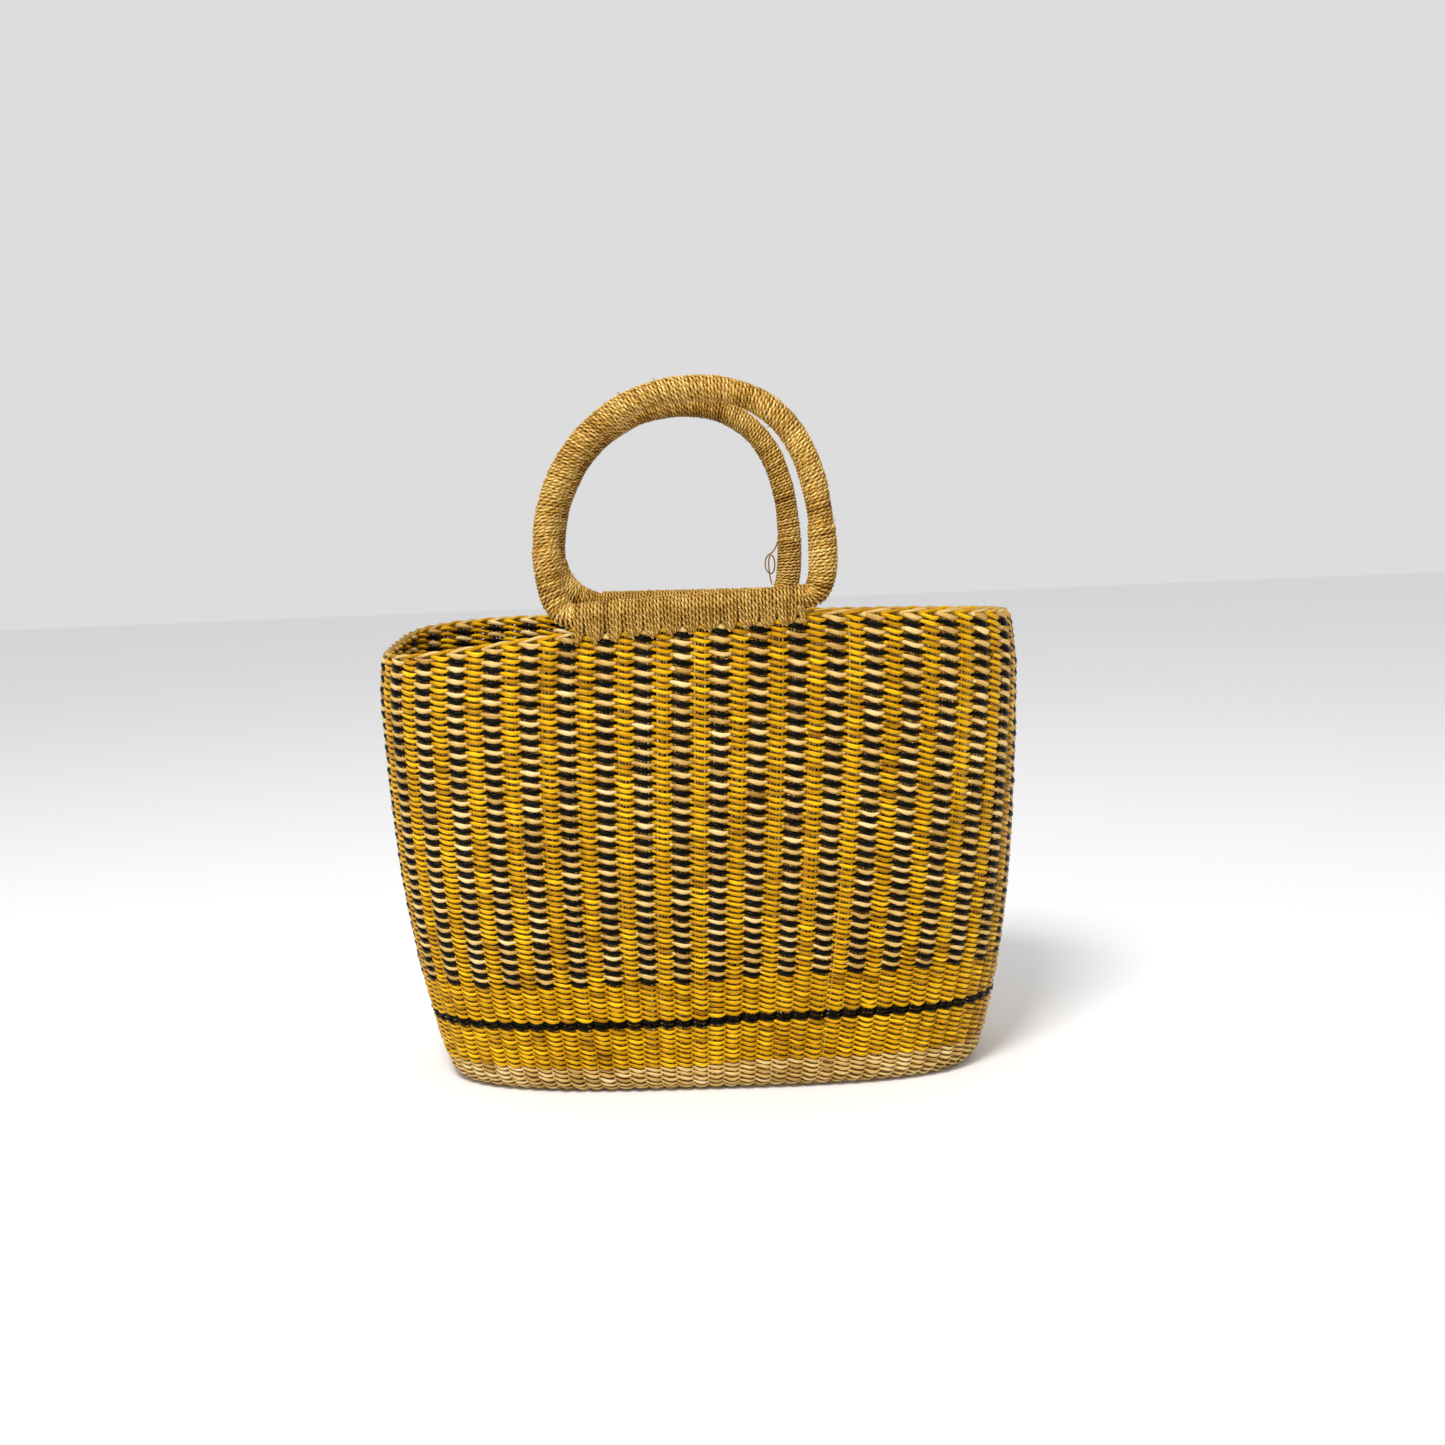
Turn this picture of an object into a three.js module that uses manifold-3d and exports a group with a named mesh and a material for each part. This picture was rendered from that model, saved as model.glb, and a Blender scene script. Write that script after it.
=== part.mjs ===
// Woven market basket: an oval, flaring tote of twined grass with two wrapped hoop handles.
// Units are millimetres. X runs along the long side, the front faces -Y, and Z is up.
// The origin is on the floor, under the middle of the basket.
//
// The body is a stack of woven courses on a flat oval base. Each course is one closed ring
// whose wall follows the same flared oval surface. Each handle is a hoop of bundled stems:
// its straight bottom bar lies along the rim inside a saddle of lashing cord, and cord is
// wound round the rest of it. The hoop can tip about its bar, inward and outward.
import * as THREE from 'three';
import { ParametricGeometry } from 'three/addons/geometries/ParametricGeometry.js';
import { mergeVertices } from 'three/addons/utils/BufferGeometryUtils.js';
import Module from 'manifold-3d';

// ---- body -------------------------------------------------------------------------------
const HEIGHT = 309;            // rim height at the middle of each long side
const FOOT_HALF_LENGTH = 179.5; // outline of the wall where it leaves the floor
const FOOT_HALF_DEPTH = 78.5;
const FLARE_LENGTH = 31.5;     // how much each half size grows towards the rim
const FLARE_DEPTH = 17.2;
const FLARE_REACH = 99;        // height in which most of the flare happens
const FLARE_POWER = 1.15;
const FOOT_POWER = 3;          // oval outline: 2 is an ellipse, more is boxier
const RIM_POWER = 3.6;
const WALL = 6;                // stakes with the weft in front of and behind them
const CORNER_RADIUS = 12;      // round turn from the base to the wall
const BASE_THICKNESS = 5;
// The rim's rise along each long side: tilt lifts the +X end and drops the -X end, arch
// lowers both ends, and sink lowers the whole side.
const FRONT_RIM = { tilt: 10.2, arch: 13, sink: 0 };
const BACK_RIM = { tilt: -3.5, arch: 1.5, sink: 5.5 };
const RISE_POWER = 1.5;        // how these grow from the level foot up to the rim
const RIM_TUCK = 4.6;          // the last rows draw in at the two ends
const TUCK_HEIGHT = 44;
const RIM_BEAD_RADIUS = 3.3;
const GAP = 0.3;               // air between neighbouring pieces
const AROUND = 56;             // facets round the oval
const OUTER_CORNER_STEPS = 4;  // facets of the turn from the base to the wall
const INNER_CORNER_STEPS = 3;
const TALL_COURSE = 60;        // a course taller than this bends once at its middle
const RIM_BEAD_SIDES = 8;
const MERGE_DISTANCE = 1e-4;   // points closer than this are one point

// Height of the top of each woven course, from the floor up, at the middle of a long side.
const COURSES = [
  ['foot_course', 20, 'natural'],
  ['lower_yellow_course', 47, 'yellow'],
  ['black_stripe_course', 52.3, 'black'],
  ['upper_yellow_course', 77, 'yellow'],
  ['checked_course_low', 154, 'yellow'],
  ['checked_course_middle', 230, 'yellow'],
  ['checked_course_high', HEIGHT - 2 * RIM_BEAD_RADIUS, 'yellow'],
];

// ---- handles ----------------------------------------------------------------------------
// For each hoop: side is -1 at the front, x is the middle of its bar, tilt (in degrees)
// follows the slope of the rim, barLeft is the bar's straight reach towards -X, peak is the
// height of the arch, and lashLeft is the reach of the lashing towards -X.
const FRONT_HOOP = { side: -1, x: 1, tilt: 2.5, barLeft: 71, peak: 132, lashLeft: 69 };
const BACK_HOOP = { side: 1, x: -21, tilt: -1, barLeft: 50, peak: 139, lashLeft: 48.5 };
const BAR_Y = 92.5;            // bar axis, above the middle of the wall
const BAR_LIFT = 6;            // bar axis above the rim
const BAR_RIGHT = 71;          // straight part of the bar towards +X
const LEG_X = 85;              // widest point of the hoop
const LEG_Z = 38;
const TOP_X = 8;               // the arch peaks a little off centre
// How full the hoop's curves are: shares of its half width and of its peak that the curve
// is drawn towards, and of the leg's height that each lower corner is drawn towards.
const RIGHT_SHOULDER = { reach: 0.65, rise: 0.8 };
const LEFT_SHOULDER = { reach: 0.55, rise: 0.65 };
const CORNER_PULL = 0.4;
const RIGHT_CORNER_EASE = 2;
const LEFT_CORNER_REACH = 4;
const CORE_RADIUS = 5;
const WRAP_RADIUS = 8.6;
const BINDING_RADIUS = 9.3;    // cord crosses itself on the corners, so they are thicker
const BINDING_START = 5.8;     // where a binding meets the lashing, close to the bar
const BINDING_TAPER = 0.6;     // share of its length in which it grows to its full radius
const BINDING_LENGTH = 50;
const BINDING_STEP = 1.2;      // along the bar, from the end of the lashing to the binding
const LASH_RIGHT = 69;
const LASHING_RADIUS = 7.5;
const SADDLE_OVERHANG = 2.6;   // cord thickness in front of and behind the rim
const SADDLE_DROP = 3.6;       // how far the cord reaches below the top of the rim
const LOBE_DROP = 3;           // extra reach where the cord dives between two stakes
const LASHING_WAIST = 1;       // its flanks are upright up to this height above the rim
const LASHING_TURNS = [-15, 25, 65, 115, 155, 195]; // degrees round the bar, outside first
const LASHING_STEPS = 4;       // sections from one stake to the next
const SLOT_DEPTH = 40;         // the slot for the rim is cut this far down from its top
const STAKE_PITCH = 11.8;
const TUBE_SIDES = 8;
const BORE_SIDES = 2 * TUBE_SIDES;
const BORE_LENGTH = 3 * LASH_RIGHT; // the cutter for the bar's way through is longer than any lashing
const HOOP_STEPS = 60;

const material = {
  natural: new THREE.MeshStandardMaterial({ color: 0xdcb986, roughness: 0.6, metalness: 0 }),
  yellow: new THREE.MeshStandardMaterial({ color: 0xe3a80a, roughness: 0.5, metalness: 0 }),
  black: new THREE.MeshStandardMaterial({ color: 0x12110f, roughness: 0.45, metalness: 0 }),
  stem: new THREE.MeshStandardMaterial({ color: 0xb8935a, roughness: 0.7, metalness: 0 }),
  cord: new THREE.MeshStandardMaterial({ color: 0xb58d45, roughness: 0.65, metalness: 0 }),
};

const group = new THREE.Group();
const wasm = await Module();
wasm.setup();

// ---- closed meshes ------------------------------------------------------------------------

// Joins the shared vertices, and turns the faces outward if the volume comes out negative.
function closed(geometry) {
  geometry.deleteAttribute('normal');
  geometry.deleteAttribute('uv');
  const merged = mergeVertices(geometry, MERGE_DISTANCE);
  const points = merged.attributes.position;
  const index = merged.index.array;
  const [a, b, c] = [new THREE.Vector3(), new THREE.Vector3(), new THREE.Vector3()];
  const kept = [];
  let volume = 0;
  for (let i = 0; i < index.length; i += 3) {
    const [p, q, r] = [index[i], index[i + 1], index[i + 2]];
    if (p === q || q === r || r === p) continue;
    kept.push(p, q, r);
    volume += a.fromBufferAttribute(points, p)
      .dot(b.fromBufferAttribute(points, q).cross(c.fromBufferAttribute(points, r)));
  }
  if (volume < 0) kept.reverse();
  merged.setIndex(kept);
  merged.computeVertexNormals();
  return merged;
}

// A surface that closes on itself both ways: place(i, j) gives one point of the grid.
function closedGrid(columns, rows, place) {
  const surface = (u, v, target) => {
    target.copy(place(Math.round(u * columns) % columns, Math.round(v * rows) % rows));
  };
  return closed(new ParametricGeometry(surface, columns, rows));
}

function toManifold(geometry) {
  const vertProperties = geometry.attributes.position.array;
  return new wasm.Manifold(new wasm.Mesh({
    numProp: 3, vertProperties, triVerts: new Uint32Array(geometry.index.array),
  }));
}

function fromManifold(solid) {
  const mesh = solid.getMesh();
  const geometry = new THREE.BufferGeometry();
  geometry.setAttribute('position', new THREE.BufferAttribute(mesh.vertProperties, 3));
  geometry.setIndex(new THREE.BufferAttribute(mesh.triVerts, 1));
  geometry.computeVertexNormals();
  return geometry;
}

function addMesh(parent, name, geometry, kind) {
  const mesh = new THREE.Mesh(geometry, material[kind]);
  mesh.name = name;
  parent.add(mesh);
}

// ---- the flared oval ------------------------------------------------------------------------

const flare = (level) => 1 - Math.exp(-((Math.max(level, 0) / FLARE_REACH) ** FLARE_POWER));

function halfLength(level) {
  const tuck = Math.max(0, (level - HEIGHT + TUCK_HEIGHT) / TUCK_HEIGHT);
  return FOOT_HALF_LENGTH + FLARE_LENGTH * flare(level) - RIM_TUCK * tuck * tuck;
}

const halfDepth = (level) => FOOT_HALF_DEPTH + FLARE_DEPTH * flare(level);

// The rim's own rise and fall. Along is -1 at one end and 1 at the other, and across is -1
// at the front and 1 at the back.
function rimRise(along, across) {
  const share = (1 + across) / 2;
  const tilt = THREE.MathUtils.lerp(FRONT_RIM.tilt, BACK_RIM.tilt, share);
  const arch = THREE.MathUtils.lerp(FRONT_RIM.arch, BACK_RIM.arch, share);
  const sink = THREE.MathUtils.lerp(FRONT_RIM.sink, BACK_RIM.sink, share);
  return tilt * along - arch * along * along - sink;
}

const rimHeightAt = (x, side) => HEIGHT + rimRise(x / halfLength(HEIGHT), side);

const outlinePower = (level) => FOOT_POWER + (RIM_POWER - FOOT_POWER) * (level / HEIGHT);

// A power of a cosine or sine that keeps its sign, for the boxy oval.
function signedPower(value, level) {
  return Math.sign(value) * Math.abs(value) ** (2 / outlinePower(level));
}

// A point of the wall: level is its height at mid length, inset its depth into the wall.
function wallPoint(angle, level, inset) {
  const along = signedPower(Math.cos(angle), level);
  const across = signedPower(Math.sin(angle), level);
  const z = level + rimRise(along, across) * (level / HEIGHT) ** RISE_POWER;
  const x = (halfLength(level) - inset) * along;
  const y = (halfDepth(level) - inset) * across;
  return new THREE.Vector3(x, y, z);
}

// A ring with a closed section of [level, inset] points.
function ringGeometry(section) {
  return closedGrid(AROUND, section.length, (i, j) => {
    const [level, inset] = section[j];
    return wallPoint((i / AROUND) * 2 * Math.PI, level, inset);
  });
}

// ---- body pieces ------------------------------------------------------------------------------

// The turn from base to wall, as [level, inset] points of a quarter circle.
function cornerArc(radius, steps) {
  const points = [];
  for (let k = 0; k <= steps; k += 1) {
    const angle = (k / steps) * (Math.PI / 2);
    const level = CORNER_RADIUS - radius * Math.cos(angle);
    points.push([level, CORNER_RADIUS - radius * Math.sin(angle)]);
  }
  return points;
}

function footSection(top) {
  const outer = cornerArc(CORNER_RADIUS, OUTER_CORNER_STEPS);
  const inner = cornerArc(CORNER_RADIUS - BASE_THICKNESS, INNER_CORNER_STEPS).reverse();
  inner.forEach((point) => { point[1] = Math.min(point[1] + WALL - BASE_THICKNESS, CORNER_RADIUS); });
  return [...outer, [top, 0], [top, WALL], ...inner];
}

function wallSection(bottom, top) {
  const middle = (bottom + top) / 2;
  const tall = top - bottom > TALL_COURSE;
  const outer = tall ? [[bottom, 0], [middle, 0], [top, 0]] : [[bottom, 0], [top, 0]];
  const inner = tall ? [[top, WALL], [middle, WALL], [bottom, WALL]] : [[top, WALL], [bottom, WALL]];
  return [...outer, ...inner];
}

function beadSection(sides) {
  const points = [];
  for (let k = 0; k < sides; k += 1) {
    const angle = ((k + 0.5) / sides) * 2 * Math.PI;
    const level = HEIGHT - RIM_BEAD_RADIUS * (1 - Math.sin(angle));
    points.push([level, WALL / 2 - RIM_BEAD_RADIUS * Math.cos(angle)]);
  }
  return points;
}

function addBody() {
  const shape = new THREE.Shape();
  for (let i = 0; i < AROUND; i += 1) {
    const edge = wallPoint((i / AROUND) * 2 * Math.PI, 0, CORNER_RADIUS + GAP);
    if (i === 0) shape.moveTo(edge.x, edge.y);
    else shape.lineTo(edge.x, edge.y);
  }
  const panel = new THREE.ExtrudeGeometry(shape, { depth: BASE_THICKNESS, bevelEnabled: false });
  addMesh(group, 'base_panel', closed(panel), 'natural');

  let bottom = 0;
  for (const [name, top, kind] of COURSES) {
    const section = bottom === 0
      ? footSection(top - GAP / 2)
      : wallSection(bottom + GAP / 2, top - GAP / 2);
    addMesh(group, name, ringGeometry(section), kind);
    bottom = top;
  }
  addMesh(group, 'rim_course', ringGeometry(beadSection(RIM_BEAD_SIDES)), 'yellow');
}

// ---- handles ----------------------------------------------------------------------------------

// The hoop's centre line in its own upright plane, from the middle of the bar and back to it,
// and the same line as a run of straight stations, so that tubes round it nest exactly.
function hoopLine({ barLeft, peak }) {
  const hoop = new THREE.Shape();
  hoop.moveTo(0, 0);
  hoop.lineTo(BAR_RIGHT, 0);
  const [right, left] = [RIGHT_SHOULDER, LEFT_SHOULDER];
  const leftPull = (LEG_X + barLeft) / 2 + LEFT_CORNER_REACH;
  hoop.bezierCurveTo(LEG_X - RIGHT_CORNER_EASE, 0, LEG_X, LEG_Z * CORNER_PULL, LEG_X, LEG_Z);
  hoop.bezierCurveTo(LEG_X, peak * right.rise, LEG_X * right.reach, peak, TOP_X, peak);
  hoop.bezierCurveTo(-LEG_X * left.reach, peak, -LEG_X, peak * left.rise, -LEG_X, LEG_Z);
  hoop.bezierCurveTo(-LEG_X, LEG_Z * CORNER_PULL, -leftPull, 0, -barLeft, 0);
  hoop.lineTo(0, 0);
  const stations = Array.from({ length: HOOP_STEPS + 1 }, (_, k) => {
    const along = (k % HOOP_STEPS) / HOOP_STEPS;
    return { centre: hoop.getPointAt(along), tangent: hoop.getTangentAt(along) };
  });
  return { stations, step: hoop.getLength() / HOOP_STEPS };
}

// A point on a tube round the hoop: place is in stations, angle is about the centre line.
function hoopPoint(stations, place, radius, angle) {
  const wrapped = (place + HOOP_STEPS) % HOOP_STEPS;
  const near = Math.floor(wrapped);
  const centre = stations[near].centre.clone().lerp(stations[near + 1].centre, wrapped - near);
  const tangent = stations[near].tangent.clone().lerp(stations[near + 1].tangent, wrapped - near);
  const out = radius * Math.cos(angle);
  return new THREE.Vector3(
    centre.x + tangent.y * out, radius * Math.sin(angle), centre.y - tangent.x * out);
}

const sideAngle = (j) => ((j + 0.5) / TUBE_SIDES) * 2 * Math.PI;

function coreGeometry(stations) {
  return closedGrid(HOOP_STEPS, TUBE_SIDES, (i, j) => (
    hoopPoint(stations, i, CORE_RADIUS, sideAngle(j))));
}

// A wound sleeve on the core between two places. Its radius follows its share of the way.
function sleeveGeometry(stations, start, end, radiusAt) {
  const places = [start];
  for (let k = Math.floor(start) + 1; k < end; k += 1) places.push(k);
  places.push(end);
  const outer = places.map((place) => [place, radiusAt((place - start) / (end - start))]);
  const inner = places.map((place) => [place, CORE_RADIUS + GAP]).reverse();
  const profile = [...outer, ...inner];
  return closedGrid(profile.length, TUBE_SIDES, (i, j) => (
    hoopPoint(stations, profile[i][0], profile[i][1], sideAngle(j))));
}

// Radius of a binding at a share of its length, counted from the lashing.
function bindingRadius(share) {
  const grown = THREE.MathUtils.smoothstep(share, 0, BINDING_TAPER);
  return THREE.MathUtils.lerp(BINDING_START, BINDING_RADIUS, grown);
}

// Height of the bar's axis over a place on the rim.
function barHeightAt(x, { side, x: middle, tilt }) {
  const slope = Math.tan(THREE.MathUtils.degToRad(tilt));
  return rimHeightAt(middle, side) + BAR_LIFT + (x - middle) * slope;
}

// One section of the lashing: round over the bar, with two flanks that hang over the rim.
function lashingSection(x, handle) {
  const { side } = handle;
  const across = (1 - Math.abs(x / halfLength(HEIGHT)) ** RIM_POWER) ** (1 / RIM_POWER);
  const outerY = halfDepth(HEIGHT) * across + SADDLE_OVERHANG;
  const innerY = (halfDepth(HEIGHT) - WALL) * across - SADDLE_OVERHANG;
  const lobe = Math.abs(Math.cos((Math.PI * (x - handle.x)) / STAKE_PITCH));
  const lower = rimHeightAt(x, side) - SADDLE_DROP - LOBE_DROP * lobe;
  const middle = rimHeightAt(x, side) + LASHING_WAIST;
  const points = [[outerY, lower], [outerY, middle]];
  for (const turn of LASHING_TURNS) {
    const about = THREE.MathUtils.degToRad(turn);
    const y = BAR_Y + LASHING_RADIUS * Math.cos(about);
    points.push([y, barHeightAt(x, handle) + LASHING_RADIUS * Math.sin(about)]);
  }
  points.push([innerY, middle], [innerY, lower]);
  return points.map(([y, z]) => new THREE.Vector3(x, side * y, z));
}

// A solid lofted through sections of equal length, with a flat cap at each end.
function loft(sections) {
  const size = sections[0].length;
  const positions = sections.flat().flatMap((point) => point.toArray());
  const index = [];
  for (let s = 0; s + 1 < sections.length; s += 1) {
    for (let k = 0; k < size; k += 1) {
      const [a, b] = [s * size + k, s * size + ((k + 1) % size)];
      index.push(a, b, a + size, b, b + size, a + size);
    }
  }
  const last = (sections.length - 1) * size;
  for (let k = 1; k + 1 < size; k += 1) {
    index.push(0, k + 1, k, last, last + k, last + k + 1);
  }
  const geometry = new THREE.BufferGeometry();
  geometry.setAttribute('position', new THREE.Float32BufferAttribute(positions, 3));
  geometry.setIndex(index);
  return closed(geometry);
}

// Cord over the bar and the rim, with a round way through for the bar and a slot for the rim.
function lashingGeometry(handle) {
  const { side, x: middle, tilt, lashLeft } = handle;
  const span = lashLeft + LASH_RIGHT;
  const steps = LASHING_STEPS * Math.round(span / STAKE_PITCH);
  const sections = [];
  for (let k = 0; k <= steps; k += 1) {
    sections.push(lashingSection(middle - lashLeft + (span * k) / steps, handle));
  }
  const clear = WALL / 2 - RIM_BEAD_RADIUS - GAP;
  const low = HEIGHT - SLOT_DEPTH;
  const slot = ringGeometry([
    [low, clear], [HEIGHT + GAP, clear], [HEIGHT + GAP, WALL - clear], [low, WALL - clear],
  ]);
  const boreRadius = CORE_RADIUS + GAP;
  const bore = new THREE.CylinderGeometry(boreRadius, boreRadius, BORE_LENGTH, BORE_SIDES);
  bore.rotateZ(-Math.PI / 2 + THREE.MathUtils.degToRad(tilt));
  bore.rotateX(Math.PI / 2);
  bore.translate(middle, side * BAR_Y, barHeightAt(middle, handle));
  const solid = toManifold(loft(sections))
    .subtract(toManifold(slot))
    .subtract(toManifold(closed(bore)));
  return fromManifold(solid);
}

function addHandle(prefix, handle) {
  const { stations, step } = hoopLine(handle);
  const holder = new THREE.Group();
  holder.position.set(handle.x, handle.side * BAR_Y, barHeightAt(handle.x, handle));
  holder.rotation.y = -THREE.MathUtils.degToRad(handle.tilt);
  group.add(holder);

  const right = (LASH_RIGHT + BINDING_STEP) / step;
  const left = HOOP_STEPS - (handle.lashLeft + BINDING_STEP) / step;
  const binding = BINDING_LENGTH / step;
  const gap = GAP / step;
  const sleeve = (start, end, radiusAt) => sleeveGeometry(stations, start, end, radiusAt);
  const rightBinding = sleeve(right, right + binding, bindingRadius);
  const leftBinding = sleeve(left - binding, left, (share) => bindingRadius(1 - share));
  const wrap = sleeve(right + binding + gap, left - binding - gap, () => WRAP_RADIUS);
  addMesh(holder, `${prefix}_handle_core`, coreGeometry(stations), 'stem');
  addMesh(holder, `${prefix}_right_binding`, rightBinding, 'cord');
  addMesh(holder, `${prefix}_left_binding`, leftBinding, 'cord');
  addMesh(holder, `${prefix}_handle_wrap`, wrap, 'cord');
  addMesh(group, `${prefix}_lashing`, lashingGeometry(handle), 'cord');
}

addBody();
addHandle('front', FRONT_HOOP);
addHandle('back', BACK_HOOP);

export default group;
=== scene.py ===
# %% [markdown]
# # A woven market basket
#
# The basket is a flared oval tote of twined grass with two wrapped hoop handles. This notebook
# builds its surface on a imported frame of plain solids: every row of weft, every stake, and every
# turn of cord is made as a numpy grid and rides the rigid body that it belongs to.
#
# Twining is a weave of two weft strands. They travel side by side round the basket and make a
# half turn about each other in the space between two stakes. So at each stake one strand lies
# outside and the other inside, and at the next stake they have changed places. Two colours in
# one row therefore give columns: one colour shows on the even stakes, the other on the odd ones.

import math

import bpy
import numpy as np
from mathutils import Matrix, Vector


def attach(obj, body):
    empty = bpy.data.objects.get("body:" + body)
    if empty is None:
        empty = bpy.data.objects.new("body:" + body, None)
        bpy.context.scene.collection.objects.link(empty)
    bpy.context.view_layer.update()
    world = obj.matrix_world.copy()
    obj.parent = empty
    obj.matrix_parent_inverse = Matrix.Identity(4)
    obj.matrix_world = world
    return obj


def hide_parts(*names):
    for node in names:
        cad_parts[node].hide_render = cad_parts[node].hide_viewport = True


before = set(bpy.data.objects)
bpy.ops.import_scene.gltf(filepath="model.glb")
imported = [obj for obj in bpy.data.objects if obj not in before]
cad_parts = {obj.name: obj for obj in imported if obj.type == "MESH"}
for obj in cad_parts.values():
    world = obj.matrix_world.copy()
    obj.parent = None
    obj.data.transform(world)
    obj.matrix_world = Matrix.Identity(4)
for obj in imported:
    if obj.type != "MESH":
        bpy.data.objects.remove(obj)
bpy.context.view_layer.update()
rng = np.random.default_rng(84)

# %% [markdown]
# ## Driving sizes
#
# All lengths are metres. The body is described by a flare (how the half sizes grow with height),
# an oval outline (a curve between an ellipse and a rectangle) and the rise and fall of its rim.
# These are the sizes of the frame's own solids, so the weave lies where the solids are.

# %% Sizes
MM = 0.001
HEIGHT = 309 * MM
FOOT_HALF = np.array([179.5, 78.5]) * MM      # half length and half depth at the floor
FLARE = np.array([31.5, 17.2]) * MM           # how much they grow towards the rim
FLARE_REACH = 99 * MM
FLARE_POWER = 1.15
FOOT_POWER, RIM_POWER = 3.0, 3.6              # of the oval outline
WALL = 6 * MM
CORNER = 12 * MM                              # outer radius of the turn from base to wall
BASE_MIDDLE = 2.7 * MM                        # height of the middle of the base's thickness
FRONT_RIM = np.array([10.2, 13, 0]) * MM      # tilt, arch and sink of the rim along the front
BACK_RIM = np.array([-3.5, 1.5, 5.5]) * MM    # and along the back
RISE_POWER = 1.5
RIM_TUCK = 4.6 * MM                           # the last rows draw in at the two ends
TUCK_HEIGHT = 44 * MM

STAKES = 88
STEPS = 5          # grid steps from one stake to the next
SIDES = 6          # corners of a strand's section
JOG = 0.762        # where the rows step up, as a fraction of the way round
STALKS = 4         # thin stalks side by side in one stake
STALK_RADIUS = 0.85 * MM

# Each woven band: its name, its top in millimetres above the floor, and how many rows it holds.
BANDS = [("foot", 20, 7), ("lower_yellow", 47, 8), ("black_stripe", 52.3, 2),
         ("upper_yellow", 77, 7), ("checked", 305.2, 60)]

# %% [markdown]
# ## The surface the weave lies on
#
# A superellipse is the curve |x/a|^n + |y/b|^n = 1. With n = 2 it is an ellipse, and a larger n
# makes it boxier. Its usual angle does not space points evenly, and the stakes of a basket are
# evenly spaced. So each level gets a table of the outline by its own arc length, and places
# between the table's entries are blended from their neighbours.

# %% The outline table
TABLE_COLUMNS, TABLE_ROWS = 2048, 20
TABLE_ANGLES = 20001       # points of the outline that its arc length is measured on


def flare_share(level):
    """Share of the flare reached at a height: 1 - exp(-(height / reach) ^ power)."""
    return 1 - np.exp(-((np.maximum(level, 0) / FLARE_REACH) ** FLARE_POWER))


def outline_table():
    """x/a and y/b of the outline at even steps of arc length, one row for each of some levels.

    On the curve, x/a = cos(t) ^ (2/n) and y/b = sin(t) ^ (2/n), each with its own sign.
    """
    angle = np.linspace(0, 2 * np.pi, TABLE_ANGLES)
    rows = []
    for share in np.linspace(0, 1, TABLE_ROWS):
        half = FOOT_HALF + FLARE * flare_share(share * HEIGHT)
        power = 2 / (FOOT_POWER + (RIM_POWER - FOOT_POWER) * share)
        x = np.sign(np.cos(angle)) * np.abs(np.cos(angle)) ** power
        y = np.sign(np.sin(angle)) * np.abs(np.sin(angle)) ** power
        length = np.concatenate([[0], np.cumsum(np.hypot(np.diff(x * half[0]), np.diff(y * half[1])))])
        even = np.arange(TABLE_COLUMNS) / TABLE_COLUMNS * length[-1]
        rows.append([np.interp(even, length, x), np.interp(even, length, y)])
    return np.array(rows)


OUTLINE = outline_table()
print("outline table:", OUTLINE.shape)


def outline(around, level):
    """Blend of the four nearest table entries, for a place round the oval and a level."""
    column = (around % 1.0) * TABLE_COLUMNS
    low = np.floor(column).astype(int) % TABLE_COLUMNS
    part = column - np.floor(column)
    row = np.clip(level / HEIGHT, 0, 1) * (TABLE_ROWS - 1)
    under = np.minimum(np.floor(row).astype(int), TABLE_ROWS - 2)
    up = row - under
    found = []
    for axis in (0, 1):
        grid = OUTLINE[:, axis]
        lower = grid[under, low] * (1 - part) + grid[under, (low + 1) % TABLE_COLUMNS] * part
        upper = grid[under + 1, low] * (1 - part) + grid[under + 1, (low + 1) % TABLE_COLUMNS] * part
        found.append(lower * (1 - up) + upper * up)
    return found


# %% [markdown]
# The mid surface runs from the middle of the base, round the turn at the foot, and up the wall.
# The path s is the distance along it: below zero on the base, a quarter circle at the foot, then
# straight up. A normal frame at each place comes from small differences of the surface itself.

# %% The mid surface
TURN_RADIUS = CORNER - WALL / 2
TURN_LENGTH = TURN_RADIUS * np.pi / 2
MOST_RISE = 1.2            # the rise of the rim stops growing this far above the rim
SMALL_TURN, SMALL_PATH = 1e-4, 0.2 * MM


def profile(path):
    """Level and inset of the mid surface at a distance along its path."""
    turn = np.clip(path / TURN_RADIUS, 0, np.pi / 2)
    level = CORNER - TURN_RADIUS * np.cos(turn) + np.maximum(path - TURN_LENGTH, 0)
    level = level - (CORNER - TURN_RADIUS - BASE_MIDDLE) * np.clip(1 - path / TURN_LENGTH, 0, 1)
    inset = CORNER - TURN_RADIUS * np.sin(turn) + np.maximum(-path, 0)
    return level, inset


def path_at(level):
    """Distance along the path of a place on the wall above the turn."""
    return TURN_LENGTH + level - CORNER


def surface(around, path):
    """Point of the mid surface: the outline scaled to the half sizes, plus the rise of the rim."""
    level, inset = profile(path)
    along, across = outline(around, level)
    grown = flare_share(level)
    tuck = np.maximum(0, (level - HEIGHT + TUCK_HEIGHT) / TUCK_HEIGHT)
    half_x = FOOT_HALF[0] + FLARE[0] * grown - RIM_TUCK * tuck**2 - inset
    half_y = FOOT_HALF[1] + FLARE[1] * grown - inset
    share = (1 + across) / 2
    rims = zip(FRONT_RIM, BACK_RIM)
    tilt, arch, sink = ((1 - share) * front + share * back for front, back in rims)
    rise = (tilt * along - arch * along**2 - sink) * np.clip(level / HEIGHT, 0, MOST_RISE) ** RISE_POWER
    return np.stack([half_x * along, half_y * across, level + rise], axis=-1)


def unit(vectors):
    """Vectors divided by their length."""
    return vectors / np.maximum(np.linalg.norm(vectors, axis=-1, keepdims=True), 1e-12)


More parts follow.
